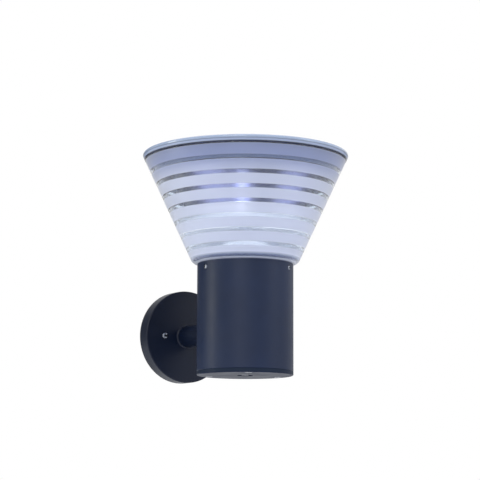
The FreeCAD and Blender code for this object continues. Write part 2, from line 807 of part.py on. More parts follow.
def led_cover():
    """Opal dish under the chips."""
    inner_r = led_cover_r - led_cover_wall
    bore_r = tube_d / 2 + slip_fit
    plate_top = led_cover_base + led_cover_wall
    outline = [(bore_r, led_cover_base), (inner_r, led_cover_base), (led_cover_r, plate_top),
               (led_cover_r, housing_base), (inner_r, housing_base), (inner_r, plate_top),
               (bore_r, plate_top)]
    return to_lamp(lathe(outline))


def led_lead_hole(low, high):
    return moved(disc(thin_lead_d / 2 + slip_fit, low, high), *led_lead_at)


def led_board():
    board = ring(led_board_r, tube_d / 2 + slip_fit, led_board_base, housing_base)
    return to_lamp(board.cut(led_lead_hole(led_board_base, housing_base)))


def led_chips():
    chips = []
    for step, count in enumerate(led_ring_counts):
        radius = led_board_r - led_ring_inset - led_ring_step * step
        for turn in range(count):
            chip = block(led_size, led_size, led_board_base - led_t, led_board_base, radius)
            chips.append(to_lamp(turned(chip, 360 / count * turn)))
    return chips


# ---- Battery housing ------------------------------------------------------------------------------------

def housing_r(height):
    """Outside radius of the battery housing at a height."""
    share = (height - housing_base) / housing_depth
    return housing_base_r + share * (housing_top_r - housing_base_r)


def battery_housing():
    """Dark bowl with a flange that the head screws hold under the tray."""
    flange_base = tray_base - housing_flange
    bore_r = tube_d / 2 + slip_fit
    outline = [(bore_r, housing_base), (housing_base_r, housing_base),
               (housing_r(flange_base), flange_base), (housing_flange_r, flange_base),
               (housing_flange_r, tray_base), (housing_top_r - housing_wall, tray_base),
               (housing_r(housing_floor_top) - housing_wall, housing_floor_top), (bore_r, housing_floor_top)]
    bowl = lathe(outline).cut(led_lead_hole(housing_base, housing_floor_top))
    for angle in head_angles:
        hole = disc(head_screw_d / 2 + screw_fit, flange_base, tray_base)
        bowl = bowl.cut(at_polar(hole, head_screw_ring_r, angle))
    return to_lamp(bowl)


def battery_holder():
    """Tray with an end wall at each end of the cells."""
    top = housing_floor_top + holder_t
    tray = block(holder_length, holder_width, housing_floor_top, top)
    for side in (-1, 1):
        end_y = side * (holder_width - holder_end) / 2
        tray = tray.fuse(block(holder_length, holder_end, top, top + holder_end_height, 0, end_y))
    tray = tray.cut(disc(tube_nut_r + slip_fit, housing_floor_top, top))
    return to_lamp(tray.removeSplitter())


def battery_cells():
    """Two cells on each side of the centre tube, lying along Y."""
    height = housing_floor_top + holder_t + battery_d / 2
    end = battery_length / 2
    shoulder = end - battery_button
    cells = []
    for side in (-1, 1):
        for count in range(2):
            x = side * (battery_first_x + battery_pitch * count)
            sleeve = rod(battery_d / 2, -end, shoulder, x, height)
            cells.append(to_lamp(sleeve.fuse(rod(battery_button_d / 2, shoulder, end, x, height))))
    return cells


def board_holes():
    x = board_length / 2 - board_hole_inset
    y = board_width / 2 - board_hole_inset
    return [(i * x, j * y) for i in (-1, 1) for j in (-1, 1)]


def controller_board():
    board = block(board_length, board_width, board_base, board_top)
    for x, y in board_holes():
        board = board.cut(moved(disc(board_screw_d / 2 + screw_fit, board_base, board_top), x, y))
    return to_lamp(board)


def board_parts():
    """Sockets, coil, capacitors and chips, above and below the board."""
    socket_top = board_top + connector_height
    pieces = [block(connector_length, connector_width, board_top, socket_top, *panel_plug_at)]
    for x, y in ((0, 0), led_plug_at, battery_plug_at):
        pieces.append(block(connector_length, connector_width, plug_base, board_base, x, y))
    for x, y, length, width, height in board_blocks:
        pieces.append(block(length, width, board_top, board_top + height, x, y))
    for x, y in capacitor_places:
        pieces.append(moved(disc(capacitor_d / 2, board_top, board_top + capacitor_height), x, y))
    return [to_lamp(piece) for piece in pieces]


def board_standoffs():
    posts = []
    for x, y in board_holes():
        post = disc(standoff_d / 2, board_top, tray_base)
        hole = disc(board_screw_d / 2 + screw_fit, board_top, board_top + board_screw_length)
        posts.append(to_lamp(moved(post.cut(hole), x, y)))
    return posts


def board_screws():
    screw = round_screw(board_screw_d, board_screw_length, 2 * board_screw_d - 0.4, 1.7)
    screw.rotate(ORIGIN, RIGHT, 180)
    return [to_lamp(moved(screw, x, y, board_base)) for x, y in board_holes()]


# ---- Solar head -----------------------------------------------------------------------------------------

def panel_tray():
    """Dark tray that hangs from the ring, with a boss for each head screw."""
    inner_r = tray_r - tray_wall
    tray = lathe([(0, tray_base), (tray_r, tray_base), (tray_r, ring_base), (inner_r, ring_base),
                  (inner_r, tray_floor_top), (0, tray_floor_top)])
    for angle in head_angles:
        boss = at_polar(disc(head_boss_d / 2, tray_floor_top, ring_base), head_screw_ring_r, angle)
        hole = at_polar(disc(head_screw_d / 2 + screw_fit, tray_base, ring_base), head_screw_ring_r, angle)
        tray = tray.fuse(boss).cut(hole)
    lead_hole = disc(thin_lead_d / 2 + 3 * slip_fit, tray_base, tray_floor_top)
    return to_lamp(tray.cut(moved(lead_hole, *panel_plug_at)).removeSplitter())


def head_screws():
    grip = housing_flange + tray_depth + cover_ring_t * 0.8
    screw = round_screw(head_screw_d, grip, 2 * head_screw_d - 0.4, 2.0)
    screw.rotate(ORIGIN, RIGHT, 180)
    base = tray_base - housing_flange
    return [to_lamp(at_polar(screw, head_screw_ring_r, angle, base)) for angle in head_angles]


def head_seal():
    outer_r = cone_r(shade_top) - 0.8
    return to_lamp(ring(outer_r, outer_r - head_seal_width, shade_top, ring_base))


def cover_ring():
    """Clear ring with a ledge that the solar panel lies on."""
    outer_low = cone_r(ring_base) + cover_proud
    outer_high = cone_r(ring_top) + cover_proud
    seat_r = panel_r + slip_fit
    ledge_r = seat_r - panel_ledge_width
    outline = [(ledge_r, ring_base), (outer_low, ring_base), (outer_high, ring_top), (seat_r, ring_top),
               (seat_r, ledge_top), (ledge_r, ledge_top)]
    body = lathe(outline)
    for angle in head_angles:
        hole = disc(head_screw_d / 2 + screw_fit, ring_base, ring_base + cover_ring_t * 0.8 + screw_fit)
        body = body.cut(at_polar(hole, head_screw_ring_r, angle))
    return to_lamp(body)


def solar_panel():
    return to_lamp(disc(panel_r, ledge_top, panel_top))


def cell_places():
    """Centres of the square cells that fit on the round panel."""
    limit = panel_r - cell_margin
    most = math.ceil(limit / cell_pitch)
    steps = range(-most, most)
    places = []
    for i in steps:
        for j in steps:
            x = (i + 0.5) * cell_pitch
            y = (j + 0.5) * cell_pitch
            if math.hypot(abs(x) + cell_size / 2, abs(y) + cell_size / 2) < limit:
                places.append((x, y))
    return places


def solar_cells():
    return [to_lamp(block(cell_size, cell_size, panel_top, cell_top, x, y)) for x, y in cell_places()]


def cell_ribbons():
    """Two flat wires along each column of cells."""
    ribbons = []
    columns = sorted(set(x for x, y in cell_places()))
    for x in columns:
        reach_y = max(y for at, y in cell_places() if at == x) + cell_size / 2
        for side in (-1, 1):
            strip = block(ribbon_width, 2 * reach_y, cell_top, cell_top + ribbon_t, x + side * cell_size / 4)
            ribbons.append(to_lamp(strip))
    return ribbons


def junction_box():
    low = ledge_top - junction_height
    return to_lamp(block(junction_length, junction_width, low, ledge_top, junction_x))


def top_cover():
    """Clear disc that closes the head, its edge on the line of the cone and rounded on top."""
    low_r = cone_r(ring_top) + cover_proud
    high_r = cone_r(cover_top) + cover_proud
    cover = lathe([(0, ring_top), (low_r, ring_top), (high_r, cover_top), (0, cover_top)])
    edge = [e for e in cover.Edges if e.Closed and e.BoundBox.ZMin > cover_top - 0.01]
    return to_lamp(cover.makeFillet(cover_edge_r, edge))


# ---- Leads ----------------------------------------------------------------------------------------------

def switch_lead():
    """From the switch, up through the centre tube, to the socket under the board."""
    slack_base = switch_base_top + switch_lead_rise
    slack_top = tube_base - switch_lead_entry
    middle = (slack_base + slack_top) / 2
    points = [V(0, 0, switch_base_top), V(0, 0, slack_base), V(switch_lead_slack, 0, middle),
              V(0, 0, slack_top), V(0, 0, plug_base)]
    return to_lamp(lead(points, lead_d))


def led_lead():
    """From the chips' board, up past the cells, to its socket."""
    start_x, start_y = led_lead_at
    plug_x, plug_y = led_plug_at
    side_y = plug_y - connector_width / 2
    height = plug_base + connector_height / 2
    points = [V(start_x, start_y, led_board_base), V(start_x, start_y, height - led_lead_drop),
              V(plug_x, side_y - led_lead_run, height), V(plug_x, side_y, height)]
    return to_lamp(lead(points, thin_lead_d))


def battery_lead():
    """From the cells' end to its socket."""
    plug_x, plug_y = battery_plug_at
    start = housing_floor_top + holder_t + thin_lead_d
    end_y = battery_length / 2 + slip_fit
    points = [V(plug_x, end_y, start), V(plug_x, end_y - battery_lead_run, start),
              V(plug_x, plug_y, start + battery_lead_run), V(plug_x, plug_y, plug_base)]
    return to_lamp(lead(points, thin_lead_d))


def panel_lead():
    """From the junction box under the panel, down through the tray, to its socket."""
    plug_x, plug_y = panel_plug_at
    start_x = junction_x - junction_length / 2
    height = ledge_top - junction_height / 2
    run = panel_lead_run
    points = [V(start_x, plug_y, height), V(start_x - run, plug_y, height),
              V(plug_x + run / 2, plug_y, height - run), V(plug_x, plug_y, height - 2 * run),
              V(plug_x, plug_y, board_top + connector_height)]
    return to_lamp(lead(points, thin_lead_d))


# ---- Export ---------------------------------------------------------------------------------------------

NODES = [
    wall_gasket, wall_bracket, wall_plate, plate_screws, arm, arm_seal, arm_stud, stud_nuts, stud_washers,
    locating_pins, body_tube, bottom_cap, cap_seal, cap_screws, switch_barrel, switch_base, switch_seal,
    switch_nut, power_button, button_spring, neck_ring, neck_screws, neck_seal, shade, shade_clamp,
    clamp_screws, reflector, centre_tube, tube_nuts, led_cover, led_board, led_chips, battery_housing,
    battery_holder, battery_cells, controller_board, board_parts, board_standoffs, board_screws, panel_tray,
    head_screws, head_seal, cover_ring, solar_panel, solar_cells, cell_ribbons, junction_box, top_cover,
    switch_lead, led_lead, battery_lead, panel_lead,
]

os.makedirs("parts", exist_ok=True)
for make in NODES:
    made = make()
    shape = Part.makeCompound(made) if isinstance(made, list) else made
    shape.exportStep("parts/%s.step" % make.__name__)
    facts = (make.__name__, len(shape.Solids), shape.Volume, shape.isValid())
    print("%-18s solids %2d  volume %10.1f  valid %s" % facts)
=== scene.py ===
"""Solar fence light: finishes, fine parts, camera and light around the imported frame."""

import json
import math

import bmesh
import bpy
from mathutils import Matrix, Vector


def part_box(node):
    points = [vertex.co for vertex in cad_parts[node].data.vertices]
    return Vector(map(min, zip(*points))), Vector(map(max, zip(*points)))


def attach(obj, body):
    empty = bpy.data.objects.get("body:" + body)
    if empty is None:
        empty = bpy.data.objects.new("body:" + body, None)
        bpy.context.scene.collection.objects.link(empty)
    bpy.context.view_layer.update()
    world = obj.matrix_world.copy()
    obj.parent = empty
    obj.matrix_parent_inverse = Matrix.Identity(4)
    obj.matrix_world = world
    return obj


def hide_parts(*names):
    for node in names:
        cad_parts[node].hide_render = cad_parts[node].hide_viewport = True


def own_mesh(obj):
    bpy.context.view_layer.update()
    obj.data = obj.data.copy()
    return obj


bl_info = {
    "name": "Solar Fence Light",
    "version": (1, 0, 0),
    "blender": (4, 5, 0),
    "location": "View3D > Sidebar > Fence Light",
    "description": "Dresses the packed fence light and sets it up for its picture",
    "category": "Object",
}

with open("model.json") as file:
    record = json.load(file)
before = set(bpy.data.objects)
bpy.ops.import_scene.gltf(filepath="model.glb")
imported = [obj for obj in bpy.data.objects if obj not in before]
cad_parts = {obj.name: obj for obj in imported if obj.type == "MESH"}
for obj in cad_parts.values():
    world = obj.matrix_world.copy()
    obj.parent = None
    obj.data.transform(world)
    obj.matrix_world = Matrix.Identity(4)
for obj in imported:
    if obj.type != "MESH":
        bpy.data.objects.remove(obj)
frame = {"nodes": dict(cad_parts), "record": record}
NODES = frame["nodes"]
SLOT_OF = {part["node"]: part["material_slot"] for part in frame["record"]["subparts"]}

# ---- Places read from the frame ----

def half_width(node):
    low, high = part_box(node)
    return (high.x - low.x) / 2


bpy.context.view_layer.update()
BODY_LOW, BODY_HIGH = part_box("body_tube")
SHADE_LOW, SHADE_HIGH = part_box("shade")
RING_LOW, RING_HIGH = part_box("cover_ring")
AXIS_X = (BODY_LOW.x + BODY_HIGH.x) / 2
AXIS_Y = (BODY_LOW.y + BODY_HIGH.y) / 2
BODY_R = half_width("body_tube")
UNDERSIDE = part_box("bottom_cap")[0].z
SHADE_BASE = SHADE_LOW.z
SHADE_TALL = SHADE_HIGH.z - SHADE_LOW.z
SHADE_TOP_R = half_width("shade")
PLATE_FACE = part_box("wall_plate")[0].y


def on_axis(height):
    return AXIS_X, AXIS_Y, height


# ---- Sizes and colours that a user would change ----

def size(name, description, value):
    return bpy.props.FloatProperty(name=name, description=description, default=value,
                                   unit="LENGTH", precision=5)


def share(name, description, value):
    return bpy.props.FloatProperty(name=name, description=description, default=value,
                                   min=0.0, max=1.0, subtype="FACTOR")


def colour(name, description, value):
    return bpy.props.FloatVectorProperty(name=name, description=description, default=value,
                                         size=3, min=0.0, max=1.0, subtype="COLOR")


def angle(name, description, degrees):
    return bpy.props.FloatProperty(name=name, description=description, default=math.radians(degrees),
                                   subtype="ANGLE")


def whole(name, description, value, least=1):
    return bpy.props.IntProperty(name=name, description=description, default=value, min=least)


class ShadeSettings(bpy.types.PropertyGroup):
    """Sizes and finish of the banded shade."""

    foot_radius: size("Foot radius", "Cone's radius at its foot, before the lip is rounded", 0.0593)
    wall: size("Wall", "Wall thickness, square to the cone", 0.003)
    floor: size("Floor", "Thickness of the inner floor", 0.003)
    floor_bore: size("Floor bore", "Radius of the hole in the floor", 0.042)
    lip: size("Lip", "Radius of the rounded lip at the foot", 0.0072)
    edge: size("Edge", "Radius of every other edge", 0.00018)
    rim: size("Rim", "Thickness of the flange under the seal", 0.0025)
    rim_bore: size("Rim bore", "Radius of the hole in that flange", 0.105)
    slits: whole("Slits", "Number of clear slits", 7)
    first_slit: size("First slit", "Middle of the lowest slit above the foot", 0.0142)
    pitch: size("Pitch", "From one slit to the next", 0.0147)
    slit_height: size("Slit height", "Height of each clear slit", 0.0042)
    slit_depth: size("Slit depth", "How deep each slit is cut into the wall", 0.001)
    segments: whole("Segments", "Steps round the shade", 224, 32)
    tint: colour("Tint", "Colour of the frosted bands", (0.49, 0.535, 0.69))
    # Painted shade: the highest band is tinted darker than the others.
    top_shade_tint: colour("Top tint", "Colour of the highest band", (0.39, 0.46, 0.74))
    clear_tint: colour("Clear tint", "Colour of the plastic in the slits", (0.82, 0.90, 1.0))
    # Painted shade: a dark band just above the foot.
    foot_shade_tint: colour("Lip tint", "Colour just above the foot", (0.20, 0.27, 0.52))
    frost: share("Frost", "Share of the light that the frosted bands scatter", 0.94)
    glow: share("Glow", "Share of the light that the bands pass on softly", 0.14)


class ScrewSettings(bpy.types.PropertyGroup):
    """Sizes of the cross-headed screws."""

    neck_head: size("Neck head", "Head radius of the neck screws", 0.0028)
    neck_depth: size("Neck recess", "How deep the neck screws' heads sit in the tube", 0.0013)
    neck_shank: size("Neck shank", "Shank length of the neck screws", 0.0065)
    plate_head: size("Plate head", "Head radius of the plate screws", 0.0035)
    cap_head: size("Cap head", "Head radius of the countersunk cap screws", 0.004)
    cap_ring: size("Cap ring", "Circle of the cap screws", 0.0445)
    inner_head: size("Inner head", "Head radius of the screws inside", 0.0028)
    clamp_ring: size("Clamp ring", "Circle of the clamp screws", 0.0385)
    tray_inset: size("Tray inset", "Head screws inside the tray's edge", 0.0055)
    first_turn: angle("First screw", "Bearing of the first neck screw", -57.5)
    clocking: whole("Clocking", "Seed for how far each screw is turned", 4, 0)


class PanelSettings(bpy.types.PropertyGroup):
    """Sizes of the solar cells, their ribbons and the chips."""

    cell: size("Cell", "Side of a solar cell", 0.0274)
    pitch: size("Cell pitch", "From one cell to the next", 0.0286)
    corner: size("Cell corner", "Radius of a cell's corners", 0.0022)
    margin: size("Margin", "Cells' corners to the panel's edge", 0.001)
    ribbon: size("Ribbon", "Width of a ribbon", 0.0013)
    chip: size("Chip", "Side of a light chip", 0.0035)
    outer_chips: whole("Outer chips", "Chips in the outer ring", 20)
    inner_chips: whole("Inner chips", "Chips in the inner ring", 12)
    chip_inset: size("Chip inset", "Outer ring of chips inside the board's edge", 0.011)
    chip_step: size("Chip step", "From the outer ring to the inner", 0.021)


class SpringSettings(bpy.types.PropertyGroup):
    """The button's coil spring."""

    wire: size("Wire", "Thickness of the spring's wire", 0.0007)
    radius: size("Spring radius", "From the axis to the middle of the wire", 0.00385)
    turns: whole("Turns", "Turns of the spring", 5)
    travel: size("Travel", "How far the button goes in", 0.0014)


class CoatSettings(bpy.types.PropertyGroup):
    """Powder coat on the metal parts."""

    tone: colour("Coat colour", "Colour of the powder coat", (0.005, 0.013, 0.042))
    # Painted light: the cap's side is given a lighter colour than its underside.
    cap_side_painted_light: colour("Cap side", "Colour of the cap's side", (0.011, 0.018, 0.036))
    gloss: share("Roughness", "Roughness of the coat", 0.42)


class StageSettings(bpy.types.PropertyGroup):
    """Camera and floor of the picture."""

    lens: bpy.props.FloatProperty(name="Lens", description="Focal length in millimetres", default=132.9,
                                  unit="CAMERA")
    distance: size("Distance", "From the light's axis to the camera, on plan", 1.9737)
    drop: size("Drop", "Camera's height below the light's underside", 0.1482)
    azimuth: angle("Azimuth", "Camera's place to the left of the front", 32.44)
    pitch: angle("Pitch", "How far the camera looks up", 8.65)
    roll: angle("Roll", "How far the camera is turned about its view", 0.17)
    floor_height: size("Floor height", "Height of the floor in the part's frame", -0.30)


GROUPS = {"shade": ShadeSettings, "coat": CoatSettings, "stage": StageSettings, "screws": ScrewSettings,
          "panel": PanelSettings, "spring": SpringSettings}


def settings(group):
    return getattr(bpy.context.scene, "fence_" + group)


# ---- Node helpers ----

class Value:
    """What a socket gives. Arithmetic on it adds math nodes to its tree."""

    def __init__(self, socket):
        self.socket = socket

    def __add__(self, other):
        return maths("ADD", self, other)

    def __sub__(self, other):
        return maths("SUBTRACT", self, other)

    def __rsub__(self, other):
        return maths("SUBTRACT", other, self)

    def __mul__(self, other):
        return maths("MULTIPLY", self, other)

    def __truediv__(self, other):
        return maths("DIVIDE", self, other)

    def __abs__(self):
        return maths("ABSOLUTE", self)

    __radd__ = __add__
    __rmul__ = __mul__


def maths(operation, *parts):
    """Value of a math node. At least one of its parts comes from the tree it goes to."""
    tree = next(part.socket.id_data for part in parts if isinstance(part, Value))
    return Value(add_node(tree, "ShaderNodeMath", dict(enumerate(parts)), operation=operation).outputs[0])


def hypotenuse(a, b):
    return maths("SQRT", a * a + b * b)


def around(radius, bearing):
    """The x and y of a place on a circle."""
    return radius * maths("COSINE", bearing), radius * maths("SINE", bearing)


def put(socket, value):
    """Links a value to an input, or sets the input."""
    if isinstance(value, Value):
        socket.id_data.links.new(value.socket, socket)
    elif socket.type == "RGBA" and len(value) == 3:
        socket.default_value = (*value, 1.0)
    else:
        socket.default_value = value


def add_node(tree, kind, inputs=None, **options):
    """New node with its options set, and its inputs given."""
    node = tree.nodes.new(kind)
    for key, value in options.items():
        setattr(node, key, value)
    for key, value in (inputs or {}).items():
        put(node.inputs[key], value)
    return node


class Nodes:
    """Adds nodes to a tree."""

    def __init__(self, tree):
        self.tree = tree

    def add(self, kind, inputs=None, output=0, **options):
        """One output of a new node."""
        return Value(add_node(self.tree, kind, inputs, **options).outputs[output])

    def vector(self, x, y, z):
        return self.add("ShaderNodeCombineXYZ", {0: x, 1: y, 2: z})

    def split(self, vector):
        return [Value(part) for part in add_node(self.tree, "ShaderNodeSeparateXYZ", {0: vector}).outputs]

    def span(self, value, low, high, new_low=0.0, new_high=1.0):
        """The value, brought from one span to another and held there."""
        return self.add("ShaderNodeMapRange", {0: value, 1: low, 2: high, 3: new_low, 4: new_high},
                        clamp=True)


# ---- Materials ----

class Finish(Nodes):
    """A material under construction: its tree, its shader and its Object coordinates."""

    def __init__(self, name):
        self.material = bpy.data.materials.new(name)
        self.material.use_nodes = True
        super().__init__(self.material.node_tree)
        self.shader = self.tree.nodes["Principled BSDF"]
        self.place = self.add("ShaderNodeTexCoord", output="Object")
        self.x, self.y, self.z = self.split(self.place)

    def set(self, **values):
        """Sets the shader's inputs, and gives back the material."""
        for name, value in values.items():
            put(self.shader.inputs[name.replace("_", " ")], value)
        return self.material

    def stretched(self, scale, rotation):
        """Object coordinates, turned and stretched."""
        return self.add("ShaderNodeMapping", {"Vector": self.place, "Scale": scale, "Rotation": rotation})

    def noise(self, scale, detail=2.0, roughness=0.5, at=None):
        return self.add("ShaderNodeTexNoise", {"Vector": at or self.place, "Scale": scale,
                                               "Detail": detail, "Roughness": roughness})

    def cells(self, scale, output="Distance"):
        return self.add("ShaderNodeTexVoronoi", {"Vector": self.place, "Scale": scale}, output)

    def mix(self, factor, first, second):
        """Mix of two colours, given as values or sockets."""
        return self.add("ShaderNodeMix", {0: factor, 6: first, 7: second}, 2, data_type="RGBA")

    def bump(self, height, strength, depth, under=None):
        inputs = {"Height": height, "Strength": strength, "Distance": depth}
        if under:
            inputs["Normal"] = under
        return self.add("ShaderNodeBump", inputs)

    def stripes(self, along, step, thin, thick):
        """Lines across an axis, one per step."""
        return self.span(abs(maths("FRACT", along / step) - 0.5), thin, thick, 1.0, 0.0)

    def add_glow(self, share_through, tone):
        """Lets a share of the light pass on softly to the other side."""
        soft = self.add("ShaderNodeBsdfTranslucent", {"Color": tone})
        mixed = self.add("ShaderNodeMixShader",
                         {0: share_through, 1: Value(self.shader.outputs[0]), 2: soft})
        put(next(n for n in self.tree.nodes if n.type == "OUTPUT_MATERIAL").inputs["Surface"], mixed)

    def radius(self):
        """Distance from the light's upright axis."""
        return hypotenuse(self.x - AXIS_X, self.y - AXIS_Y)


def shaded(tone, factor):
    return tuple(min(1.0, part * factor) for part in tone)


def powder_coat(name, tone, roughness, specular, side=None):
    """Fine orange peel with faint sparkle, thin scratches and a slight drift of colour; side, where given,
    is
    painted light: a lighter colour for the coat above the underside."""
    f = Finish(name)
    broad = f.span(f.noise(14.0, 4.0, 0.6), 0.35, 0.65)
    fleck = f.span(f.cells(1500.0), 0.0, 0.35, 1.0, 0.0)
    base = f.mix(broad, shaded(tone, 0.9), shaded(tone, 1.12))
    base = f.mix(fleck * 0.10, base, shaded(tone, 2.6))
    streaks = f.noise(60.0, 3.0, 0.7, f.stretched((1.0, 1.0, 14.0), (0.5, 0.3, 0.2)))
    base = f.mix(f.span(streaks, 0.66, 0.72) * 0.12, base, shaded(tone, 2.2))
    # Painted light: above the underside the coat takes the lighter side colour.
    if side:
        base = f.mix(f.span(f.z, UNDERSIDE + 0.0006, UNDERSIDE + 0.0014), base, side)
    rough = f.span(f.noise(45.0, 3.0), 0.3, 0.7, roughness - 0.04, roughness + 0.06)
    peel = f.bump(f.noise(900.0), 0.35, 0.00008)
    grain = f.bump(f.noise(3200.0, 1.0), 0.15, 0.00003, peel)
    return f.set(Base_Color=base, Roughness=rough, Normal=grain, Specular_IOR_Level=specular)


def plain_metal(name, tone, roughness, fineness=900.0):
    """Metal with a fine grain and faint handling marks."""
    f = Finish(name)
    grain = f.noise(fineness, 2.0, 0.6)
    marks = f.span(f.noise(90.0, 4.0, 0.65), 0.4, 0.75)
    base = f.mix(marks * 0.12, tone, shaded(tone, 0.55))
    base = f.mix(grain * 0.25, base, shaded(tone, 0.8))
    rough = f.span(grain, 0.3, 0.7, roughness - 0.06, roughness + 0.1)
    return f.set(Base_Color=base, Metallic=1.0, Roughness=rough, Normal=f.bump(grain, 0.2, 0.00002))


def moulded(name, tone, roughness, grain=700.0, depth=0.00006, variation=0.15, specular=0.5):
    """Moulded plastic or rubber with an eroded grain and slight colour drift."""
    f = Finish(name)
    drift = f.span(f.noise(25.0, 3.0), 0.3, 0.7)
    base = f.mix(drift, shaded(tone, 1.0 - variation), shaded(tone, 1.0 + variation))
    rough = f.span(f.noise(60.0), 0.3, 0.7, roughness - 0.05, roughness + 0.05)
    return f.set(Base_Color=base, Roughness=rough, Specular_IOR_Level=specular,
                 Normal=f.bump(f.noise(grain, 3.0, 0.6), 0.3, depth))


def banded_plastic():
    """Plastic that is milky in the bands and polished in the slits between them."""
    s = settings("shade")
    f = Finish("shade_banded")
    height = f.z - SHADE_BASE
    turn = (height - s.first_slit) / s.pitch
    nearest = maths("MINIMUM", maths("MAXIMUM", maths("ROUND", turn), 0.0), s.slits - 1.0)
    half = s.slit_height / 2 / s.pitch
    band = f.span(abs(turn - nearest), half - 0.012, half + 0.012)
    milky = f.span(turn, 2.4, 2.6, 0.2, 0.0)
    edge = f.span(height, SHADE_TALL - 0.0009, SHADE_TALL - 0.0006, 1.0, 0.0)
    # Just above the foot the plastic is left clearer and tinted with painted shade.
    lip = f.span(height, 0.0006, 0.0013) * f.span(height, 0.0024, 0.0060, 1.0, 0.0)
    band = maths("MAXIMUM", band, milky) * (edge * (1.0 - lip * 0.75))
    # The highest band is made clearer and glows less, and it is tinted with painted shade.
    above = f.span(turn, s.slits - 2.1, s.slits - 0.9)
    cone = height * ((SHADE_TOP_R - s.foot_radius) / SHADE_TALL) + (s.foot_radius - s.wall * 0.5)
    inner = f.span(cone - f.radius(), -0.0002, 0.0002)
    inner = inner * f.span(height, s.floor + 0.0001, s.floor + 0.0004)
    cloud = f.span(f.noise(35.0, 3.0), 0.3, 0.7, -0.03, 0.03)
    frost = s.frost - above * 0.5 + cloud
    grain = f.bump(f.noise(1400.0, 2.0, 0.6) * band, 0.25, 0.00005)
    waves = f.bump(f.noise(60.0, 1.0), 0.12, 0.0004, grain)
    tone = f.mix(lip, f.mix(band, s.clear_tint, f.mix(above, s.tint, s.top_shade_tint)), s.foot_shade_tint)
    f.add_glow(band * (1.0 - inner) * s.glow * (1.0 - above * 0.5), tone)
    return f.set(Base_Color=tone, Roughness=0.03 + band * 0.27, Transmission_Weight=1.0 - band * frost,
                 Normal=waves, IOR=1.5, Alpha=1.0 - band * inner, Sheen_Weight=0.7, Sheen_Roughness=0.35)


def clear_plastic(name, tone, roughness, rim_through, rim_start, rim_end, seam_shades):
    """Clear moulding with faint waves and hairline marks, bluer and less clear at its rim. Each seam shade
    is a height, how far the painted shade beside that joint reaches, and how dark it is."""
    f = Finish(name)
    waves = f.noise(50.0)
    streaks = f.noise(120.0, 3.0, 0.7, f.stretched((1.0, 16.0, 1.0), (0.2, 0.1, 0.7)))
    rough = roughness + f.span(streaks, 0.68, 0.74) * 0.10
    base = f.mix(waves * 0.5, tone, shaded(tone, 0.94))
    base = f.mix(f.span(f.radius(), rim_start, rim_end), (0.88, 0.92, 0.96), base)
    outside = f.span(f.radius(), SHADE_TOP_R - 0.003, SHADE_TOP_R - 0.002)
    # Painted shade: a dark band beside each joint, on the outside of the rim.
    for level, reach, depth in seam_shades:
        gap = abs(f.z - level)
        base = f.mix(outside * f.span(gap, reach * 0.6, reach, depth, 0.0), base, shaded(tone, 0.12))
    through = f.span(f.radius(), rim_start, rim_end, 0.98, rim_through)
    return f.set(Base_Color=base, Roughness=rough, Transmission_Weight=through, IOR=1.5,
                 Normal=f.bump(waves, 0.05, 0.0002))


def silicon_cells():
    """Blue-black cells with fine silver fingers across them and faint crystal drift."""
    f = Finish("silicon_cells")
    finger = f.stripes(f.y - AXIS_Y, 0.0018, 0.03, 0.06)
    value = f.add("ShaderNodeSeparateColor", {0: f.cells(260.0, "Color")})
    base = f.mix(value, (0.012, 0.028, 0.095), (0.028, 0.060, 0.19))
    base = f.mix(finger * 0.7, base, (0.42, 0.45, 0.50))
    return f.set(Base_Color=base, Roughness=f.span(value, 0.0, 1.0, 0.18, 0.3), Coat_Weight=0.6,
                 Coat_Roughness=0.06)


def circuit_board(name, tone, copper):
    """Solder mask over faint copper tracks."""
    f = Finish(name)
    gate = f.span(f.noise(110.0, 1.0), 0.48, 0.52)
    track = maths("MAXIMUM", *(f.stripes(along, step, 0.10, 0.14) * gate
                               for along, step in ((f.x, 0.0032), (f.y, 0.0041))))
    return f.set(Base_Color=f.mix(track * 0.7, tone, copper), Roughness=0.3,
                 Normal=f.bump(track, 0.4, 0.00004))


def lead_sleeve(name, tone):
    """Soft sleeve with the faint ripple of its twisted cores."""
    f = Finish(name)
    ripple = f.noise(350.0, 2.0, 0.6)
    return f.set(Base_Color=f.mix(ripple, shaded(tone, 0.8), shaded(tone, 1.15)), Roughness=0.5,
                 Normal=f.bump(ripple, 0.3, 0.0001))


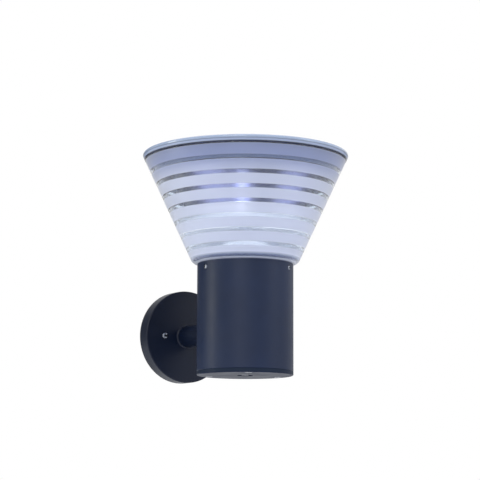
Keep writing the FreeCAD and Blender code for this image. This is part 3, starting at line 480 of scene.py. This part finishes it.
def make_finishes():
    """Every finish by the record's slot name."""
    coat = settings("coat")
    # Painted shade along the joint between the ring and the lid.
    top_seam_shade = (RING_HIGH.z, 0.0005, 0.5)
    return {
        "powder_coat": powder_coat("satin_powder_coat", coat.tone, coat.gloss, 0.3),
        # Painted shade and light: the cap is a darker copy of the coat, with its side painted lighter.
        "cap_coat": powder_coat("cap_powder_coat", shaded(coat.tone, 0.8), coat.gloss, 0.09, coat.cap_side_painted_light),
        # Painted shade: a darker copy of the coat for the arm and wall plate, which sit in shade.
        "cast_coat": powder_coat("cast_powder_coat", shaded(coat.tone, 0.45), coat.gloss, 0.25),
        "cast_metal": plain_metal("cast_alloy", (0.52, 0.53, 0.55), 0.5, 260.0),
        "zinc_steel": plain_metal("zinc_plate", (0.62, 0.64, 0.68), 0.32),
        "stainless": plain_metal("bright_stainless", (0.78, 0.79, 0.81), 0.22),
        "button_steel": plain_metal("turned_button", (0.27, 0.28, 0.32), 0.42),
        "spring_steel": plain_metal("drawn_wire", (0.58, 0.58, 0.60), 0.3),
        "brass": plain_metal("turned_brass", (0.75, 0.56, 0.24), 0.28),
        "tinned_ribbon": plain_metal("tinned_strip", (0.72, 0.74, 0.78), 0.35),
        "black_zinc": plain_metal("black_zinc_plate", (0.24, 0.26, 0.31), 0.24),
        "clear_seal": moulded("clear_silicone", (0.22, 0.25, 0.36), 0.45, 500.0, 0.00004, 0.06),
        "seal_rubber": moulded("black_seal", (0.020, 0.020, 0.023), 0.7, 500.0, 0.00008, 0.2, 0.3),
        "dark_seal": moulded("shade_seal", (0.05, 0.06, 0.12), 0.6, 500.0, 0.00008, 0.2, 0.3),
        "shade_plastic": banded_plastic(),
        # The ring also gets painted shade along its underside, where it sits on the seal.
        "clear_ring": clear_plastic("clear_ring_plastic", (0.38, 0.46, 0.68), 0.10, 0.30, 0.100, 0.108,
                                    ((RING_LOW.z, 0.0010, 0.95), top_seam_shade)),
        "clear_cover": clear_plastic("clear_lid_plastic", (0.42, 0.52, 0.73), 0.04, 0.35, 0.104, 0.112,
                                     (top_seam_shade,)),
        "opal_plastic": moulded("opal_diffuser", (0.80, 0.82, 0.86), 0.4, 900.0, 0.00003, 0.03),
        "white_plastic": moulded("white_reflector", (0.84, 0.86, 0.90), 0.25, 300.0, 0.00004, 0.03),
        "dark_plastic": moulded("housing_plastic", (0.085, 0.090, 0.16), 0.22, 600.0, 0.00004, 0.1),
        "tray_plastic": moulded("tray_plastic", (0.24, 0.29, 0.47), 0.35, 600.0, 0.00004, 0.06),
        "black_plastic": moulded("black_moulding", (0.022, 0.022, 0.025), 0.45),
        "cell_wrap": moulded("battery_sleeve", (0.06, 0.16, 0.40), 0.3, 200.0, 0.00003),
        "white_board": circuit_board("led_board_mask", (0.78, 0.79, 0.80), (0.70, 0.70, 0.70)),
        "green_board": circuit_board("controller_mask", (0.02, 0.14, 0.06), (0.05, 0.26, 0.10)),
        "board_black": moulded("component_black", (0.03, 0.03, 0.035), 0.5),
        "led_yellow": moulded("phosphor", (0.86, 0.74, 0.22), 0.35, 900.0, 0.00002, 0.05),
        "panel_sheet": moulded("panel_backsheet", (0.012, 0.014, 0.024), 0.25, 500.0, 0.00003),
        "silicon": silicon_cells(),
        "lead_black": lead_sleeve("black_lead", (0.02, 0.02, 0.022)),
        "lead_red": lead_sleeve("red_lead", (0.35, 0.02, 0.015)),
    }


FINISHES = {}


def finish_of(slot):
    if not FINISHES:
        FINISHES.update(make_finishes())
    return FINISHES[slot]


def dress(*names, finish=None):
    """Gives CAD nodes the finish of their slot, or another one."""
    for name in names:
        for material_slot in NODES[name].material_slots:
            material_slot.material = finish_of(finish or SLOT_OF[name])


# ---- Pieces made by node trees ----

class Tree(Nodes):
    """A geometry tree: its inputs by name, and the steps that make a piece from them."""

    def __init__(self, name, lengths, wholes="", turns=False):
        super().__init__(bpy.data.node_groups.new(name, "GeometryNodeTree"))
        kinds = [(label, "Float") for label in lengths.split(", ")]
        kinds += [(label, "Int") for label in wholes.split(", ") if label]
        kinds += [("Turn", "Vector")] * turns + [("Place", "Vector"), ("Material", "Material")]
        for label, kind in kinds:
            self.tree.interface.new_socket(name=label, in_out="INPUT", socket_type="NodeSocket" + kind)
        self.tree.interface.new_socket(name="Geometry", in_out="OUTPUT", socket_type="NodeSocketGeometry")
        self.start = self.tree.nodes.new("NodeGroupInput")
        self.end = self.tree.nodes.new("NodeGroupOutput")

    def __getitem__(self, label):
        return Value(self.start.outputs[label])

    def here(self):
        """Every point's x, y and z."""
        return self.split(self.add("GeometryNodeInputPosition"))

    def index(self):
        return self.add("GeometryNodeInputIndex")

    def join(self, *parts):
        node = self.tree.nodes.new("GeometryNodeJoinGeometry")
        for part in parts:
            put(node.inputs[0], part)
        return Value(node.outputs[0])

    def spinner(self, x, y, z):
        """Rotation from three angles."""
        return self.add("FunctionNodeEulerToRotation", {0: self.vector(x, y, z)})

    def shifted(self, geometry, x=0.0, y=0.0, z=0.0):
        return self.add("GeometryNodeTransform", {"Geometry": geometry, "Translation": self.vector(x, y, z)})

    def reshaped(self, geometry, x, y, z):
        """The geometry with its points at new places."""
        return self.add("GeometryNodeSetPosition", {"Geometry": geometry, "Position": self.vector(x, y, z)})

    def box(self, x, y, z):
        return self.add("GeometryNodeMeshCube", {"Size": self.vector(x, y, z)})

    def merged(self, geometry):
        return self.add("GeometryNodeMergeByDistance", {"Geometry": geometry, "Distance": 0.000001})

    def smooth(self, geometry):
        return self.add("GeometryNodeSetShadeSmooth", {"Geometry": geometry})

    def repeated(self, points, instance, rotation=None):
        inputs = {"Points": points, "Instance": instance}
        if rotation:
            inputs["Rotation"] = rotation
        return self.add("GeometryNodeInstanceOnPoints", inputs)

    def ring(self, count, radius, first):
        """Points evenly spaced round a circle, and each one's bearing."""
        line = self.add("GeometryNodeMeshLine", {"Count": count, "Offset": (0.0, 0.0, 0.0)})
        bearing = first + self.index() * math.tau / count
        return self.reshaped(line, *around(radius, bearing), 0.0), bearing

    def lathe(self, profile):
        """Turns a closed (radius, height) profile about the axis: one copy of each point per segment."""
        points = self.add("GeometryNodeAttributeDomainSize", {0: profile}, component="CURVE")
        rows = points + 1.0
        grid = self.add("GeometryNodeMeshGrid", {"Vertices X": self["Segments"] + 1.0, "Vertices Y": rows})
        index = self.index()
        column = maths("FLOOR", (index + 0.5) / rows)
        row = maths("MODULO", index - column * rows, points)
        place = self.add("GeometryNodeSampleIndex",
                         {"Geometry": profile, "Value": self.add("GeometryNodeInputPosition"), "Index": row},
                         data_type="FLOAT_VECTOR", domain="POINT")
        radius, height, _ = self.split(place)
        spun = self.reshaped(grid, *around(radius, column * math.tau / self["Segments"]), height)
        return self.smooth(self.merged(spun))

    def finish(self, geometry, turn=None):
        """Puts the geometry in its place, makes it real and gives it its material."""
        inputs = {"Geometry": geometry, "Translation": self["Place"]}
        if turn:
            inputs["Rotation"] = turn
        real = self.add("GeometryNodeRealizeInstances",
                        {"Geometry": self.add("GeometryNodeTransform", inputs)})
        put(self.end.inputs[0],
            self.add("GeometryNodeSetMaterial", {"Geometry": real, "Material": self["Material"]}))
        return self.tree


def grow(name, tree, node, place, values):
    """Runs a tree on an empty mesh, and lets the plain piece that it makes stand for a CAD node."""
    slot = SLOT_OF[node]
    collection = bpy.context.scene.collection
    seed = bpy.data.objects.new(name + "_seed", bpy.data.meshes.new(name + "_seed"))
    collection.objects.link(seed)
    modifier = seed.modifiers.new("Make", "NODES")
    modifier.node_group = tree
    names = {item.name: item.identifier for item in tree.interface.items_tree if item.in_out == "INPUT"}
    for label, value in {**values, "Place": place, "Material": finish_of(slot)}.items():
        modifier[names[label]] = value
    graph = bpy.context.evaluated_depsgraph_get()
    mesh = bpy.data.meshes.new_from_object(seed.evaluated_get(graph), depsgraph=graph)
    seed.modifiers.remove(modifier)
    bpy.data.objects.remove(seed)
    mesh.name = name
    if not mesh.polygons:
        raise RuntimeError(name + " came out empty")
    piece = bpy.data.objects.new(name, mesh)
    collection.objects.link(piece)
    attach(piece, "light")
    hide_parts(node)
    return piece


def outward(mesh):
    """Turns all faces of closed shells outwards."""
    work = bmesh.new()
    work.from_mesh(mesh)
    bmesh.ops.recalc_face_normals(work, faces=work.faces)
    work.to_mesh(mesh)
    work.free()


def sharpen(piece, degrees):
    """Marks the edges that turn by more than an angle."""
    piece.data.set_sharp_from_angle(angle=math.radians(degrees))


def banded_shade_tree():
    """The shade from its sizes: a profile whose slits follow the pitch, turned about the axis."""
    tree = Tree("Banded shade", "Foot Radius, Slope, Height, Wall, Floor, Floor Bore, Lip, Rim, Rim Bore, "
                "First Slit, Pitch, Slit Height, Slit Depth, Edge", "Slits, Segments")
    foot, slope, tall, edge = tree["Foot Radius"], tree["Slope"], tree["Height"], tree["Edge"]
    bore, rim_bore, floor_z = tree["Floor Bore"], tree["Rim Bore"], tree["Floor"]
    rim_z = tall - tree["Rim"]
    stretch = maths("SQRT", slope * slope + 1.0)
    wall = tree["Wall"] * stretch

    def outer_r(height):
        return foot + height * slope

    def inner_r(height):
        return outer_r(height) - wall

    # Four points a slit, from the lowest slit up, and then eight for the rest of the profile.
    index = tree.index()
    slit = maths("FLOOR", index / 4.0)
    corner = index - slit * 4.0
    upper = maths("GREATER_THAN", corner, 1.5)
    cut = maths("LESS_THAN", abs(corner - 1.5), 1.0)
    slit_z = tree["First Slit"] + slit * tree["Pitch"] + (upper - 0.5) * tree["Slit Height"]
    slit_r = inner_r(slit_z) + cut * (tree["Slit Depth"] * stretch)
    corners = ((inner_r(rim_z), rim_z), (rim_bore, rim_z), (rim_bore, tall), (outer_r(tall), tall),
               (foot, 0.0), (bore, 0.0), (bore, floor_z), (inner_r(floor_z), floor_z))
    slit_points = tree["Slits"] * 4.0
    rest = index - slit_points
    choice = tree.tree.nodes.new("GeometryNodeIndexSwitch")
    choice.data_type = "VECTOR"
    while len(choice.index_switch_items) < len(corners):
        choice.index_switch_items.new()
    put(choice.inputs[0], rest)
    for number, (radius, height) in enumerate(corners):
        put(choice.inputs[number + 1], tree.vector(radius, height, 0.0))
    place = tree.add("GeometryNodeSwitch", {0: maths("LESS_THAN", index, slit_points),
                                            1: Value(choice.outputs[0]),
                                            2: tree.vector(slit_r, slit_z, 0.0)}, input_type="VECTOR")

    line = tree.add("GeometryNodeMeshLine", {"Count": slit_points + float(len(corners))})
    placed = tree.add("GeometryNodeSetPosition", {"Geometry": line, "Position": place})
    closed = tree.add("GeometryNodeSetSplineCyclic",
                      {"Geometry": tree.add("GeometryNodeMeshToCurve", {"Mesh": placed}), "Cyclic": True})
    at_lip = maths("COMPARE", rest, 4.0, 0.5)
    profile = tree.add("GeometryNodeFilletCurve",
                       {"Curve": closed, "Radius": edge + at_lip * (tree["Lip"] - edge),
                        "Count": 2.0 + at_lip * 12.0}, mode="POLY")
    return tree.finish(tree.lathe(profile))


def screw_set_tree():
    """A cross-headed screw, domed or countersunk, repeated round a circle and turned at random."""
    tree = Tree("Screw set", "Head Radius, Head Height, Shank Radius, Shank Length, Countersunk, "
                "Ring Radius, First Bearing, Facing", "Count, Clocking", turns=True)
    wide, tall, thin, sunk = (tree[label] for label in ("Head Radius", "Head Height", "Shank Radius",
                                                         "Countersunk"))
    domed = 1.0 - sunk
    head = tree.add("GeometryNodeMeshCylinder", {"Vertices": 48, "Side Segments": 4, "Fill Segments": 7,
                                                 "Radius": wide, "Depth": tall})
    head = tree.shifted(head, z=tall * 0.5 * (1.0 - sunk * 2.0))
    x, y, z = tree.here()
    out = hypotenuse(x, y) / wide
    crown = maths("SQRT", maths("MAXIMUM", 1.0 - out * out, 0.0))
    lower = (1.0 - crown) * (domed * 0.7)
    depth = z * -1.0 / tall
    narrow = 1.0 - depth * sunk * (1.0 - thin / wide)
    head = tree.reshaped(head, x * narrow, y * narrow, z * (1.0 - lower))

    # The cross is cut by two boxes that narrow downwards.
    span, width = wide * 1.12, wide * 0.32
    near = 0.79 + maths("SIGN", z) * 0.21
    cut = tree.tree.nodes.new("GeometryNodeMeshBoolean")
    cut.operation, cut.solver = "DIFFERENCE", "EXACT"
    put(cut.inputs[0], head)
    for size_x, size_y in ((span, width), (width, span)):
        arm = tree.reshaped(tree.box(size_x, size_y, tall * 0.62 * 2.0), x * near, y * near, z)
        put(cut.inputs[1], tree.shifted(arm, z=tall * domed))

    start = tall * sunk
    long = tree["Shank Length"] - start
    shank = tree.add("GeometryNodeMeshCylinder", {"Vertices": 24, "Radius": thin, "Depth": long})
    screw = tree.join(Value(cut.outputs[0]), tree.shifted(shank, z=long * -0.5 - start))
    points, bearing = tree.ring(tree["Count"], tree["Ring Radius"], tree["First Bearing"])
    many = tree.repeated(points, screw, tree.spinner(0.0, tree["Facing"], bearing))
    chance = tree.add("FunctionNodeRandomValue", {2: 0.0, 3: math.tau, "Seed": tree["Clocking"]}, 1)
    clocked = tree.add("GeometryNodeRotateInstances",
                       {"Instances": many, "Rotation": tree.spinner(0.0, 0.0, chance), "Local Space": True})
    return tree.finish(clocked, tree.add("FunctionNodeEulerToRotation", {0: tree["Turn"]}))


def cell_points(tree):
    """Middles of the square cells that fit on the round panel."""
    across = tree["Pitch"] * (tree["Rows"] - 1.0)
    grid = tree.add("GeometryNodeMeshGrid", {"Size X": across, "Size Y": across,
                                             "Vertices X": tree["Rows"], "Vertices Y": tree["Rows"]})
    x, y, _ = tree.here()
    half = tree["Cell"] * 0.5
    reach = hypotenuse(abs(x) + half, abs(y) + half)
    outside = tree.add("FunctionNodeCompare", {0: reach, 1: tree["Limit"]}, operation="GREATER_THAN")
    return tree.add("GeometryNodeDeleteGeometry", {"Geometry": grid, "Selection": outside},
                    domain="POINT", mode="ALL")


def cell_set_tree():
    """Solar cells with rounded corners, on every place of the grid that lies on the panel."""
    tree = Tree("Cell set", "Cell, Pitch, Corner, Thickness, Limit", "Rows")
    outline = tree.add("GeometryNodeCurvePrimitiveQuadrilateral", {0: tree["Cell"], 1: tree["Cell"]})
    rounded = tree.add("GeometryNodeFilletCurve", {"Curve": outline, "Count": 4, "Radius": tree["Corner"]},
                       mode="POLY")
    sheet = tree.add("GeometryNodeFillCurve", {0: rounded}, mode="NGONS")
    raised = tree.add("GeometryNodeExtrudeMesh",
                      {"Mesh": sheet, "Offset": (0.0, 0.0, 1.0), "Offset Scale": tree["Thickness"],
                       "Individual": False}, mode="FACES")
    under = tree.add("GeometryNodeFlipFaces", {"Mesh": sheet})
    return tree.finish(tree.repeated(cell_points(tree), tree.merged(tree.join(raised, under))))


def ribbon_set_tree():
    """Two flat ribbons over each cell, long enough to meet those of the next cell."""
    tree = Tree("Ribbon set", "Cell, Pitch, Ribbon, Thickness, Limit", "Rows")
    one = tree.box(tree["Ribbon"], tree["Pitch"], tree["Thickness"])
    aside, up = tree["Cell"] * 0.25, tree["Thickness"] * 0.5
    pair = tree.join(tree.shifted(one, aside, 0.0, up), tree.shifted(one, aside * -1.0, 0.0, up))
    return tree.finish(tree.repeated(cell_points(tree), pair))


def chip_set_tree():
    """Light chips in two rings, each a square base with a low round lens below it."""
    tree = Tree("Chip set", "Chip, Thickness, Outer Radius, Inner Radius", "Outer Count, Inner Count")
    chip, thick = tree["Chip"], tree["Thickness"]
    base = tree.shifted(tree.box(chip, chip, thick * 0.7), z=thick * 0.7 * -0.5)
    lens = tree.add("GeometryNodeMeshCylinder", {"Vertices": 20, "Radius": chip * 0.4, "Depth": thick * 0.3})
    one = tree.join(base, tree.shifted(lens, z=thick * -0.85))
    rings = []
    for label in ("Outer", "Inner"):
        points, bearing = tree.ring(tree[label + " Count"], tree[label + " Radius"], 0.0)
        rings.append(tree.repeated(points, one, tree.spinner(0.0, 0.0, bearing)))
    return tree.finish(tree.join(*rings))


def coil_tree():
    """Coil spring: round wire along a spiral, from its lowest turn up."""
    tree = Tree("Coil spring", "Wire, Radius, Turns, Climb")
    spiral = tree.add("GeometryNodeCurveSpiral",
                      {"Resolution": 32, "Rotations": tree["Turns"], "Start Radius": tree["Radius"],
                       "End Radius": tree["Radius"], "Height": tree["Climb"]})
    wire = tree.add("GeometryNodeCurvePrimitiveCircle", {"Resolution": 14, "Radius": tree["Wire"] * 0.5})
    coil = tree.add("GeometryNodeCurveToMesh", {"Curve": spiral, "Profile Curve": wire, "Fill Caps": True})
    return tree.finish(tree.smooth(coil))


class FENCE_OT_shade(bpy.types.Operator):
    """Makes the banded shade from its rule"""

    bl_idname = "fence.shade"
    bl_label = "Banded shade"

    def execute(self, context):
        s = settings("shade")
        piece = grow("banded_shade", banded_shade_tree(), "shade", on_axis(SHADE_BASE), {
            "Foot Radius": s.foot_radius, "Slope": (SHADE_TOP_R - s.foot_radius) / SHADE_TALL,
            "Height": SHADE_TALL, "Wall": s.wall, "Floor": s.floor, "Floor Bore": s.floor_bore,
            "Lip": s.lip, "Rim": s.rim, "Rim Bore": s.rim_bore, "First Slit": s.first_slit,
            "Pitch": s.pitch, "Slit Height": s.slit_height, "Slit Depth": s.slit_depth, "Edge": s.edge,
            "Slits": s.slits, "Segments": s.segments,
        })
        outward(piece.data)
        sharpen(piece, 12)
        return {"FINISHED"}


M3, M4 = 0.0015, 0.002                          # radius of the shanks
UP, SIDEWAYS, DOWN = 0.0, math.pi / 2, math.pi  # where a set's heads face
NECK_TALL, PLATE_TALL, TALL = 0.0019, 0.0024, 0.002     # height of the heads: neck, plate, others


def make_screws(node, head, head_height, shank, ring, count, first, facing, place, length=None,
                sunk=False, on_wall=False):
    """Runs the screw tree for one set. Without a length, the shank ends where the CAD screw's does."""
    low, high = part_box(node)
    if length is None:
        length = high.y - low.y if on_wall else high.z - low.z
        length -= 0.0 if sunk else head_height
    piece = grow(node[:-1] + "_set", screw_set_tree(), node, place, {
        "Head Radius": head, "Head Height": head_height, "Shank Radius": shank, "Shank Length": length,
        "Countersunk": float(sunk), "Ring Radius": ring, "First Bearing": first, "Facing": facing,
        "Count": count, "Clocking": settings("screws").clocking,
        "Turn": (math.pi / 2 if on_wall else 0.0, 0.0, 0.0),
    })
    sharpen(piece, 28)


class FENCE_OT_screws(bpy.types.Operator):
    """Makes the screws round the neck, on the plate, under the cap, under the head and on the clamp"""

    bl_idname = "fence.screws"
    bl_label = "Screws"

    def execute(self, context):
        s = settings("screws")
        low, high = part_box("neck_screws")
        make_screws("neck_screws", s.neck_head, NECK_TALL, M3, BODY_R - s.neck_depth, 3, s.first_turn,
                    SIDEWAYS, on_axis((low.z + high.z) / 2), length=s.neck_shank)
        make_screws("plate_screws", s.plate_head, PLATE_TALL, M4, half_width("plate_screws") - s.plate_head,
                    2, 0.0, UP, (0.0, PLATE_FACE, 0.0), on_wall=True)
        make_screws("cap_screws", s.cap_head, TALL, M4, s.cap_ring, 3, s.first_turn + math.pi / 3, DOWN,
                    on_axis(UNDERSIDE), sunk=True)
        make_screws("head_screws", s.inner_head, TALL, M3, half_width("panel_tray") - s.tray_inset, 6,
                    s.first_turn, DOWN, on_axis(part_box("head_screws")[0].z + TALL))
        make_screws("clamp_screws", s.inner_head, TALL, M3, s.clamp_ring, 3, s.first_turn, UP,
                    on_axis(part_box("clamp_screws")[1].z - TALL))
        return {"FINISHED"}


class FENCE_OT_cells(bpy.types.Operator):
    """Makes the solar cells and their ribbons"""

    bl_idname = "fence.cells"
    bl_label = "Solar cells"

    def execute(self, context):
        s = settings("panel")
        limit = half_width("solar_panel") - s.margin
        shared = {"Cell": s.cell, "Pitch": s.pitch, "Limit": limit, "Rows": 2 * math.ceil(limit / s.pitch)}
        low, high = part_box("solar_cells")
        grow("cell_set", cell_set_tree(), "solar_cells", on_axis(low.z),
             {**shared, "Corner": s.corner, "Thickness": high.z - low.z})
        low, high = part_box("cell_ribbons")
        grow("ribbon_set", ribbon_set_tree(), "cell_ribbons", on_axis(low.z),
             {**shared, "Ribbon": s.ribbon, "Thickness": high.z - low.z})
        return {"FINISHED"}


class FENCE_OT_chips(bpy.types.Operator):
    """Makes the rings of light chips"""

    bl_idname = "fence.chips"
    bl_label = "Light chips"

    def execute(self, context):
        s = settings("panel")
        radius = half_width("led_board") - s.chip_inset
        low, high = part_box("led_chips")
        grow("chip_set", chip_set_tree(), "led_chips", on_axis(high.z),
             {"Chip": s.chip, "Thickness": high.z - low.z, "Outer Radius": radius,
              "Inner Radius": radius - s.chip_step, "Outer Count": s.outer_chips,
              "Inner Count": s.inner_chips})
        return {"FINISHED"}


class FENCE_OT_spring(bpy.types.Operator):
    """Winds the button's spring"""

    bl_idname = "fence.spring"
    bl_label = "Button spring"

    def execute(self, context):
        s = settings("spring")
        low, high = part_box("button_spring")
        length = high.z - low.z
        piece = grow("coil_spring", coil_tree(), "button_spring", on_axis(low.z + s.wire / 2),
                     {"Wire": s.wire, "Radius": s.radius, "Turns": float(s.turns), "Climb": length - s.wire})
        outward(piece.data)
        sharpen(piece, 50)
        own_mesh(piece)
        return {"FINISHED"}


# ---- CAD pieces that keep their shape ----

class FENCE_OT_wall_end(bpy.types.Operator):
    """Finishes the wall plate, its bracket and its gasket"""

    bl_idname = "fence.wall_end"
    bl_label = "Wall end"

    def execute(self, context):
        dress("wall_gasket", "wall_bracket")
        # Painted shade: the wall plate takes the darker copy of the coat.
        dress("wall_plate", finish="cast_coat")
        return {"FINISHED"}


class FENCE_OT_arm(bpy.types.Operator):
    """Finishes the arm and what holds it"""

    bl_idname = "fence.arm"
    bl_label = "Arm"

    def execute(self, context):
        # Painted shade: the arm takes the darker copy of the coat.
        dress("arm", finish="cast_coat")
        dress("arm_seal", "arm_stud", "stud_nuts", "stud_washers", "locating_pins")
        return {"FINISHED"}


class FENCE_OT_body(bpy.types.Operator):
    """Finishes the tube, its cap and the neck"""

    bl_idname = "fence.body"
    bl_label = "Body"

    def execute(self, context):
        dress("body_tube", "bottom_cap", "cap_seal", "neck_ring", "neck_seal")
        return {"FINISHED"}


class FENCE_OT_switch(bpy.types.Operator):
    """Finishes the power switch"""

    bl_idname = "fence.switch"
    bl_label = "Power switch"

    def execute(self, context):
        dress("switch_barrel", "switch_base", "switch_seal", "switch_nut", "power_button")
        return {"FINISHED"}


class FENCE_OT_light_source(bpy.types.Operator):
    """Finishes the clamp, reflector, tube, light board and its cover"""

    bl_idname = "fence.light_source"
    bl_label = "Light source"

    def execute(self, context):
        dress("shade_clamp", "reflector", "centre_tube", "tube_nuts", "led_cover", "led_board")
        return {"FINISHED"}


class FENCE_OT_battery(bpy.types.Operator):
    """Finishes the battery housing and what it holds"""

    bl_idname = "fence.battery"
    bl_label = "Battery housing"

    def execute(self, context):
        dress("battery_housing", "battery_holder", "battery_cells", "controller_board", "board_parts",
              "board_standoffs", "board_screws")
        return {"FINISHED"}


class FENCE_OT_solar_head(bpy.types.Operator):
    """Finishes the tray, seal, ring, panel, junction box and lid"""

    bl_idname = "fence.solar_head"
    bl_label = "Solar head"

    def execute(self, context):
        dress("panel_tray", "head_seal", "cover_ring", "solar_panel", "junction_box", "top_cover")
        return {"FINISHED"}


class FENCE_OT_leads(bpy.types.Operator):
    """Finishes the leads"""

    bl_idname = "fence.leads"
    bl_label = "Leads"

    def execute(self, context):
        dress("switch_lead", "led_lead", "battery_lead", "panel_lead")
        return {"FINISHED"}


# ---- Stage ----

PICTURE = 480                               # side of the picture, in pixels
SHIFT = (-5.4, 0.6)                         # how far the picture is shifted, in the same pixels
AIM_HEIGHT = 0.05                           # what the outer lights aim at
LID_AIM = 0.244                             # what two of the inner lights aim at, above the underside

# Soft boxes: name, height aimed at, azimuth, elevation, distance, width, height, power and, where it
# isn't white, tint. Azimuth 0 is in front, and minus is to the left.
OUTER_LIGHTS = (
    ("left_strip", AIM_HEIGHT, -119.0, 8.0, 1.6, 0.35, 1.4, 8.0, (1.0, 1.0, 0.88)),
    ("front_box", AIM_HEIGHT, -44.0, 24.0, 2.2, 0.9, 1.2, 11.0),
    ("right_box", AIM_HEIGHT, 40.0, 25.0, 2.2, 0.9, 1.2, 8.0),
    ("top_box", AIM_HEIGHT, 0.0, 88.0, 2.0, 1.6, 1.6, 12.0),
)
# Inside the shade, unseen themselves: they stand for the light that its walls throw about.
INNER_LIGHTS = (
    ("inner_fill", UNDERSIDE, 0.0, 90.0, 0.174, 0.1, 0.1, 0.015),
    ("inner_rise", UNDERSIDE + 0.17, 0.0, -90.0, 0.012, 0.1, 0.1, 0.028),
    ("inner_strip", UNDERSIDE + 0.2385, -35.0, -29.0, 0.0915, 0.010, 0.040, 0.020),
    ("inner_side", UNDERSIDE + LID_AIM, 8.0, -29.0, 0.0938, 0.036, 0.048, 0.022),
    ("inner_left", UNDERSIDE + LID_AIM, -60.0, -29.0, 0.0938, 0.040, 0.048, 0.024),
)


def soft_light(name, aim_height, azimuth, elevation, distance, width, height, power, tint=(1.0, 1.0, 1.0)):
    data = bpy.data.lights.new(name, "AREA")
    data.shape = "RECTANGLE"
    data.size = width
    data.size_y = height
    data.energy = power
    data.color = tint
    lamp = bpy.data.objects.new(name, data)
    a, e = math.radians(azimuth), math.radians(elevation)
    away = Vector((math.sin(a) * math.cos(e), -math.cos(a) * math.cos(e), math.sin(e)))
    lamp.location = Vector(on_axis(aim_height)) + away * distance
    lamp.rotation_euler = (-away).to_track_quat("-Z", "Y").to_euler()
    bpy.context.scene.collection.objects.link(lamp)
    return lamp


def make_camera(s):
    data = bpy.data.cameras.new("camera")
    data.lens = s.lens
    data.sensor_width = 36.0
    data.shift_x, data.shift_y = (pixels / PICTURE for pixels in SHIFT)
    data.clip_start = 0.05
    data.clip_end = 50.0
    camera = bpy.data.objects.new("camera", data)
    camera.location = (AXIS_X - s.distance * math.sin(s.azimuth), AXIS_Y - s.distance * math.cos(s.azimuth),
                       UNDERSIDE - s.drop)
    turn = Matrix.Rotation(-s.azimuth, 3, "Z") @ Matrix.Rotation(math.pi / 2 + s.pitch, 3, "X")
    camera.rotation_euler = (turn @ Matrix.Rotation(s.roll, 3, "Z")).to_euler()
    bpy.context.scene.collection.objects.link(camera)
    bpy.context.scene.camera = camera


def make_world(seen, high, low, dark_azimuth):
    """White to the camera, and a light on the part that is weaker from below and from one side."""
    world = bpy.data.worlds.new("studio")
    bpy.context.scene.world = world
    world.use_nodes = True
    n = Nodes(world.node_tree)
    n.tree.nodes.clear()
    bearing = n.add("ShaderNodeTexCoord", output="Generated")
    away = math.radians(dark_azimuth)
    towards = n.add("ShaderNodeVectorMath", {0: bearing, 1: (math.sin(away), -math.cos(away), 0.0)},
                    "Value", operation="DOT_PRODUCT")
    given = n.span(n.split(bearing)[2], -0.15, 0.35, low, high) * n.span(towards, 0.6, 0.92, 1.0, 0.1)
    direct = maths("MAXIMUM", n.add("ShaderNodeLightPath", output="Is Camera Ray"),
                   n.add("ShaderNodeLightPath", output="Is Transmission Ray"))
    back = n.add("ShaderNodeBackground", {"Strength": given + direct * (seen - given),
                                          "Color": (1.0, 1.0, 1.0)})
    put(n.tree.nodes.new("ShaderNodeOutputWorld").inputs[0], back)


def make_floor(height):
    mesh = bpy.data.meshes.new("floor")
    work = bmesh.new()
    bmesh.ops.create_grid(work, x_segments=1, y_segments=1, size=6.0)
    bmesh.ops.translate(work, verts=work.verts, vec=(0, 0, height))
    work.to_mesh(mesh)
    work.free()
    floor = bpy.data.objects.new("floor", mesh)
    bpy.context.scene.collection.objects.link(floor)
    f = Finish("pale_floor")
    mesh.materials.append(f.set(Base_Color=f.mix(f.noise(1.5), (0.80, 0.81, 0.83), (0.84, 0.85, 0.87)),
                                Roughness=0.7))


class FENCE_OT_stage(bpy.types.Operator):
    """Sets up the camera, the pale floor and the soft lights"""

    bl_idname = "fence.stage"
    bl_label = "Stage"

    def execute(self, context):
        s = settings("stage")
        make_camera(s)
        make_world(seen=1.0, high=1.05, low=0.15, dark_azimuth=-150.0)
        make_floor(s.floor_height)
        for light in OUTER_LIGHTS:
            soft_light(*light)
        for light in INNER_LIGHTS:
            lamp = soft_light(*light)
            lamp.visible_camera = lamp.visible_transmission = lamp.visible_glossy = False
        view = context.scene.view_settings
        view.view_transform = "Standard"
        view.look = "None"
        context.scene.cycles.transparent_max_bounces = 16
        context.scene.cycles.transmission_bounces = 14
        context.scene.cycles.max_bounces = 14
        return {"FINISHED"}


# ---- Panel and running ----

STEPS = (FENCE_OT_stage, FENCE_OT_wall_end, FENCE_OT_arm, FENCE_OT_body, FENCE_OT_switch, FENCE_OT_spring,
         FENCE_OT_shade, FENCE_OT_light_source, FENCE_OT_battery, FENCE_OT_solar_head, FENCE_OT_leads,
         FENCE_OT_screws, FENCE_OT_cells, FENCE_OT_chips)


class FENCE_PT_panel(bpy.types.Panel):
    """Lists the pieces and their settings"""

    bl_idname = "FENCE_PT_panel"
    bl_label = "Fence Light"
    bl_space_type = "VIEW_3D"
    bl_region_type = "UI"
    bl_category = "Fence Light"

    def draw(self, context):
        for step in STEPS:
            self.layout.operator(step.bl_idname)
        for name, group in GROUPS.items():
            for setting in group.__annotations__:
                self.layout.prop(settings(name), setting)


CLASSES = (*GROUPS.values(), *STEPS, FENCE_PT_panel)


def register():
    for item in CLASSES:
        bpy.utils.register_class(item)
    for name, group in GROUPS.items():
        setattr(bpy.types.Scene, "fence_" + name, bpy.props.PointerProperty(type=group))


def unregister():
    for name in GROUPS:
        delattr(bpy.types.Scene, "fence_" + name)
    for item in reversed(CLASSES):
        bpy.utils.unregister_class(item)


def main():
    register()
    for step in STEPS:
        group, name = step.bl_idname.split(".")
        getattr(getattr(bpy.ops, group), name)()


if __name__ == "__main__":
    main()
